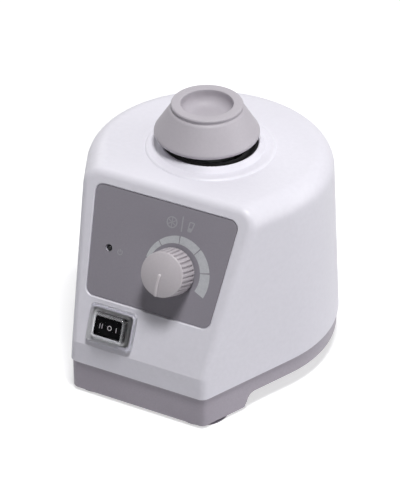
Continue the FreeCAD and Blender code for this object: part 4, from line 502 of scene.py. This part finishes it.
# Tin on brass is pale and softly bright.
tin_plate = finish("tinned_brass", "#D2CDBE", "#BDB7A6", 1.0, (0.25, 0.4), 0.004, Metallic=1.0)
dress(tin_plate, "switch_terminals", "inlet_pins")
switch = (-15.4, 12.3)


def rocker_face(across):
    """The lift of a mark, 0.05 mm above the rocker's shallow V, which rises by 0.6 mm over a half length of
    7.2 mm."""
    return 3.0 + 0.6 * np.abs(across - switch[0]) / 7.2 + 0.05


# White paint fills the marks, dull and even.
white_fill = finish("white_filled_mark", "#BDBDBF", "#B4B4B6", 0.8, (0.45, 0.55), 0.002, IOR=1.5)
mark_middle = np.array(switch) + (0.0, -0.35)
bar = np.array([(0.0, -1.2), (0.0, 0.0), (0.0, 1.2)]) + mark_middle
rocker_marks = [stroke(bar + (x, 0.0), 0.3, rocker_face) for x in (-4.95, -3.75, 3.65)]
rocker_marks.append(stroke(circle(mark_middle, 1.0), 0.36, rocker_face))
printed("rocker_marks", rocker_marks, white_fill, "rocker", "black_plastic")

# Switch boot: a clear silicone cap over the rocker, with a flange that grips the bezel.
# It is moulded with a polished face, so its edges catch the light.


def rounded(half_length, half_width, corner, count=14):
    """A rounded rectangle: quarter circles of the corner radius about the four corner centres."""
    t = (np.arange(4)[:, None] * np.pi / 2 + np.linspace(0, np.pi / 2, count)).ravel()
    sign_x = np.repeat([1, -1, -1, 1], count)
    sign_y = np.repeat([1, 1, -1, -1], count)
    return np.stack([sign_x * (half_length - corner) + corner * np.cos(t),
                     sign_y * (half_width - corner) + corner * np.sin(t)], axis=1)


def moulded_cap(levels):
    """Stacked rounded rectangles: each level is half length, half width, corner radius and lift."""
    rings = np.stack([np.insert(rounded(*outline), 2, lift, axis=1) for *outline, lift in levels])
    return front(switch[0] + rings[..., 0], switch[1] + rings[..., 1], rings[..., 2])


outside_levels = [(0.02, 0.02, 0.01, 5.78), (6.6, 4.6, 1.9, 5.78), (7.2, 5.1, 2.1, 5.74),
                  (7.75, 5.6, 2.3, 5.58), (8.15, 5.95, 2.4, 5.25), (8.4, 6.15, 2.4, 4.8),
                  (9.1, 6.75, 2.4, 3.2), (9.4, 7.0, 2.5, 2.75), (9.8, 7.3, 2.4, 2.48),
                  (10.4, 7.8, 2.2, 2.4), (11.4, 8.6, 1.9, 2.4),
                  (11.8, 9.0, 1.8, 2.28), (12.0, 9.2, 1.8, 1.95), (12.0, 9.2, 1.8, 0.02)]
inside_levels = [(10.7, 7.7, 1.6, 0.02), (10.7, 7.7, 1.6, 2.1), (8.8, 6.4, 1.9, 2.1), (8.1, 5.8, 1.7, 3.6),
                 (7.75, 5.4, 1.6, 4.7), (7.3, 4.95, 1.7, 5.0), (6.6, 4.4, 1.6, 5.1), (0.02, 0.02, 0.01, 5.1)]
# Silicone is clear, so the black switch shows through. The roof has no gloss, so that the marks read. Its
# rounded edge is polished and the flange is matt. The walls and flange that face the lower left are made
# milky, which lightens them. This is a painted highlight for the bright edges on that side, not a change in
# the silicone.
silicone_ior = 1.41
roof_ior = 1.02
clear_silicone = finish("clear_silicone", "#E6E6E9", "#E1E1E5", 4.0, (0.05, 0.09), 0.0)
tree = clear_silicone.node_tree
shader = tree.nodes["Principled BSDF"]
place = tree.nodes["Texture Coordinate"].outputs["Object"]
normal = add(tree, "NewGeometry").outputs["Normal"]
outward = (0.0, -math.cos(slope), math.sin(slope))
low_left = (-0.8, -0.24, -0.55)
low_side = (-0.66, -0.29, -0.69)
height, facing, aside, below = [
    add(tree, "VectorMath", {0: value, 1: way}, operation="DOT_PRODUCT").outputs["Value"]
    for value, way in ((place, outward), (normal, outward), (normal, low_left), (place, low_side))]
facing = add(tree, "Math", {0: facing}, operation="ABSOLUTE").outputs["Value"]
# Each mask carries a value from one range to another. Heights are in metres over the sloping front.
base = float(np.dot(fold, outward)) / 1000
middle = float(np.dot(front(*switch, 2.4), low_side)) / 1000
ends = ("From Min", "From Max", "To Min", "To Max")
flat, above_bezel, above_flange, wall_highlight_rise, looks_low, flange, lies_low, haze = [
    add(tree, "MapRange", {"Value": value, **dict(zip(ends, limits))}).outputs["Result"]
    for value, *limits in (
        (facing, 0.93, 0.99, 0.0, 1.0),
        (height, base + 0.0045, base + 0.0049, 0.0, 1.0),
        (height, base + 0.0023, base + 0.0024, 0.0, 1.0),
        (height, base + 0.0034, base + 0.0054, 0.6, 1.0),
        (aside, -0.72, 0.5, 0.0, 1.0),
        (height, base + 0.0025, base + 0.0029, 1.0, 0.0),
        (below, middle + 0.001, middle + 0.005, 0.0, 0.75),
        (height, base + 0.0026, base + 0.0034, 0.45, 0.05))]
roof = add(tree, "Math", {0: above_bezel, 1: flat}, operation="MULTIPLY").outputs["Value"]
wall = add(tree, "Math", {0: wall_highlight_rise, 1: above_flange}, operation="MULTIPLY").outputs["Value"]
wall = add(tree, "Math", {0: wall, 1: flat}, operation="SUBTRACT", use_clamp=True).outputs["Value"]
wall = add(tree, "Math", {0: wall, 1: looks_low}, operation="MULTIPLY").outputs["Value"]
flange_painted_highlight = add(tree, "Math", {0: flange, 1: lies_low}, operation="MULTIPLY").outputs["Value"]
# Painted highlight: the milky, lighter share of the lower-left walls and flange.
painted_highlight = add(tree, "Math", {0: wall, 1: flange_painted_highlight}, operation="MAXIMUM").outputs["Value"]
ior = add(tree, "MapRange", {"Value": roof, "To Min": silicone_ior, "To Max": roof_ior}).outputs["Result"]
clear = add(tree, "MapRange", {"Value": painted_highlight, "To Min": 1.0, "To Max": 0.35}).outputs["Result"]
tree.links.new(ior, shader.inputs["IOR"])
tree.links.new(clear, shader.inputs["Transmission Weight"])
tree.links.new(haze, shader.inputs["Roughness"])
boot = piece_of("boot", moulded_cap(outside_levels + inside_levels))
settle(boot, clear_silicone, "chassis", "clear_silicone", "switch_boot")

# Control board: a glass-epoxy board on nylon standoffs behind the panel. The parts of the speed control are
# soldered to it.

# Solder mask is a glossy green lacquer.
solder_mask = finish("green_solder_mask", "#2F6B45", "#27593A", 2.0, (0.25, 0.38), 0.004, IOR=1.55)
dress(solder_mask, "control_board")
dress(bobbin_nylon, "board_standoffs")
# A shrunk sleeve fits tightly, blue and slightly glossy.
shrink_sleeve = finish("blue_shrink_sleeve", "#27375F", "#1F2D50", 1.5, (0.25, 0.35), 0.003, IOR=1.5)
dress(shrink_sleeve, "filter_capacitors")
# Moulded polyamide is a matt, even green.
terminal_green = finish("green_polyamide", "#3D7A4A", "#33693E", 1.2, (0.38, 0.48), 0.006, IOR=1.53)
dress(terminal_green, "terminal_block")
dress(black_nylon, "triac")

# Power inlet: a black socket clamped in the flat seat at the back, with three tinned pins. Its shell is
# moulded in a thermoplastic polyester.

# Polyester is harder than nylon and a little glossier, with a fine grain from its mould.
inlet_plastic = finish("black_polyester", "#1D1D1F", "#161618", 1.0, (0.34, 0.45), 0.006, IOR=1.57)
dress(inlet_plastic, "power_inlet")

# Touch switch: a small snap switch on a folded steel bracket. The plate closes it by its red plunger
# when the cup is pressed.
dress(black_nylon, "touch_switch")
dress(zinc_plate, "touch_switch_bracket")
# The plunger is moulded in red polyester, with a satin face.
red_button = finish("red_polyester", "#9C2B26", "#87231F", 0.8, (0.35, 0.45), 0.004, IOR=1.57)
dress(red_button, "touch_switch_plunger")

# Studio: a white floor, a key lamp above the front, softer lamps behind and at the right, and a camera
# with a long lens above the bench.


def seen(tree):
    """1 for rays that show the background itself: from the camera, a gloss or through glass."""
    rays = add(tree, "LightPath").outputs
    both = add(tree, "Math", {0: rays["Is Camera Ray"], 1: rays["Is Glossy Ray"]}, operation="MAXIMUM")
    most = {0: both.outputs["Value"], 1: rays["Is Transmission Ray"]}
    return add(tree, "Math", most, operation="MAXIMUM").outputs["Value"]


scene = bpy.context.scene
scene.view_settings.view_transform = "Standard"
world = bpy.data.worlds.new("studio")
scene.world = world
world.use_nodes = True
tree = world.node_tree
backdrop = tree.nodes["Background"]
backdrop.inputs["Color"].default_value = linear("#FFFFFF")
level = add(tree, "MapRange", {"Value": seen(tree), "To Min": 0.05, "To Max": 1.0}).outputs["Result"]
tree.links.new(level, backdrop.inputs["Strength"])

bpy.ops.mesh.primitive_plane_add(size=8)
floor = bpy.context.object
floor.name = "floor"
pale = bpy.data.materials.new("pale_floor")
pale.use_nodes = True
tree = pale.node_tree
shader = tree.nodes["Principled BSDF"]
shader.inputs["Base Color"].default_value = linear("#D1D1D3")
shader.inputs["Roughness"].default_value = 1.0
shader.inputs["Specular IOR Level"].default_value = 0.0
shader.inputs["Emission Color"].default_value = linear("#FFFFFF")
spot = add(tree, "TexCoord").outputs["Object"]
away = add(tree, "VectorMath", {0: spot}, operation="LENGTH").outputs["Value"]
# The floor rises to a white sweep away from the mixer, where the lamps reach it less.
sweep = {"Value": away, "From Min": 0.25, "From Max": 1.2, "To Min": 0.58, "To Max": 1.0}
sweep = add(tree, "MapRange", sweep).outputs["Result"]
glow = add(tree, "Math", {0: seen(tree), 1: sweep}, operation="MULTIPLY").outputs["Value"]
tree.links.new(glow, shader.inputs["Emission Strength"])
floor.data.materials.append(pale)

# Each lamp has its place in metres, its power in watts and the length of its side in metres.
lamps = (("key_lamp", (0.22, -0.27, 1.17), 10.4, 0.25), ("left_back_lamp", (-0.8, 0.6, 0.8), 2.3, 0.6),
         ("right_back_lamp", (0.9, 0.6, 0.6), 2.2, 0.6), ("right_lamp", (1.1, 0.2, 0.35), 2.4, 0.5))
lit_middle = Vector((0, 0, 0.06))
for name, place, watts, size in lamps:
    lamp = bpy.data.lights.new(name, "AREA")
    lamp.energy = watts
    lamp.size = size
    holder = bpy.data.objects.new(name, lamp)
    holder.location = place
    holder.rotation_euler = (lit_middle - Vector(place)).to_track_quat("-Z", "Y").to_euler()
    scene.collection.objects.link(holder)

eye = Vector((0.440791, -0.868070, 0.707492))
target = Vector((-0.010325, 0.016691, 0.037138))
camera = bpy.data.cameras.new("camera")
camera.lens = 175.44
camera.sensor_width = 36.0
viewer = bpy.data.objects.new("camera", camera)
viewer.location = eye
viewer.rotation_mode = "QUATERNION"
level_view = (target - eye).to_track_quat("-Z", "Y")
roll = math.radians(0.2795)
viewer.rotation_quaternion = level_view @ Quaternion((0, 0, 1), roll)
scene.collection.objects.link(viewer)
scene.camera = viewer
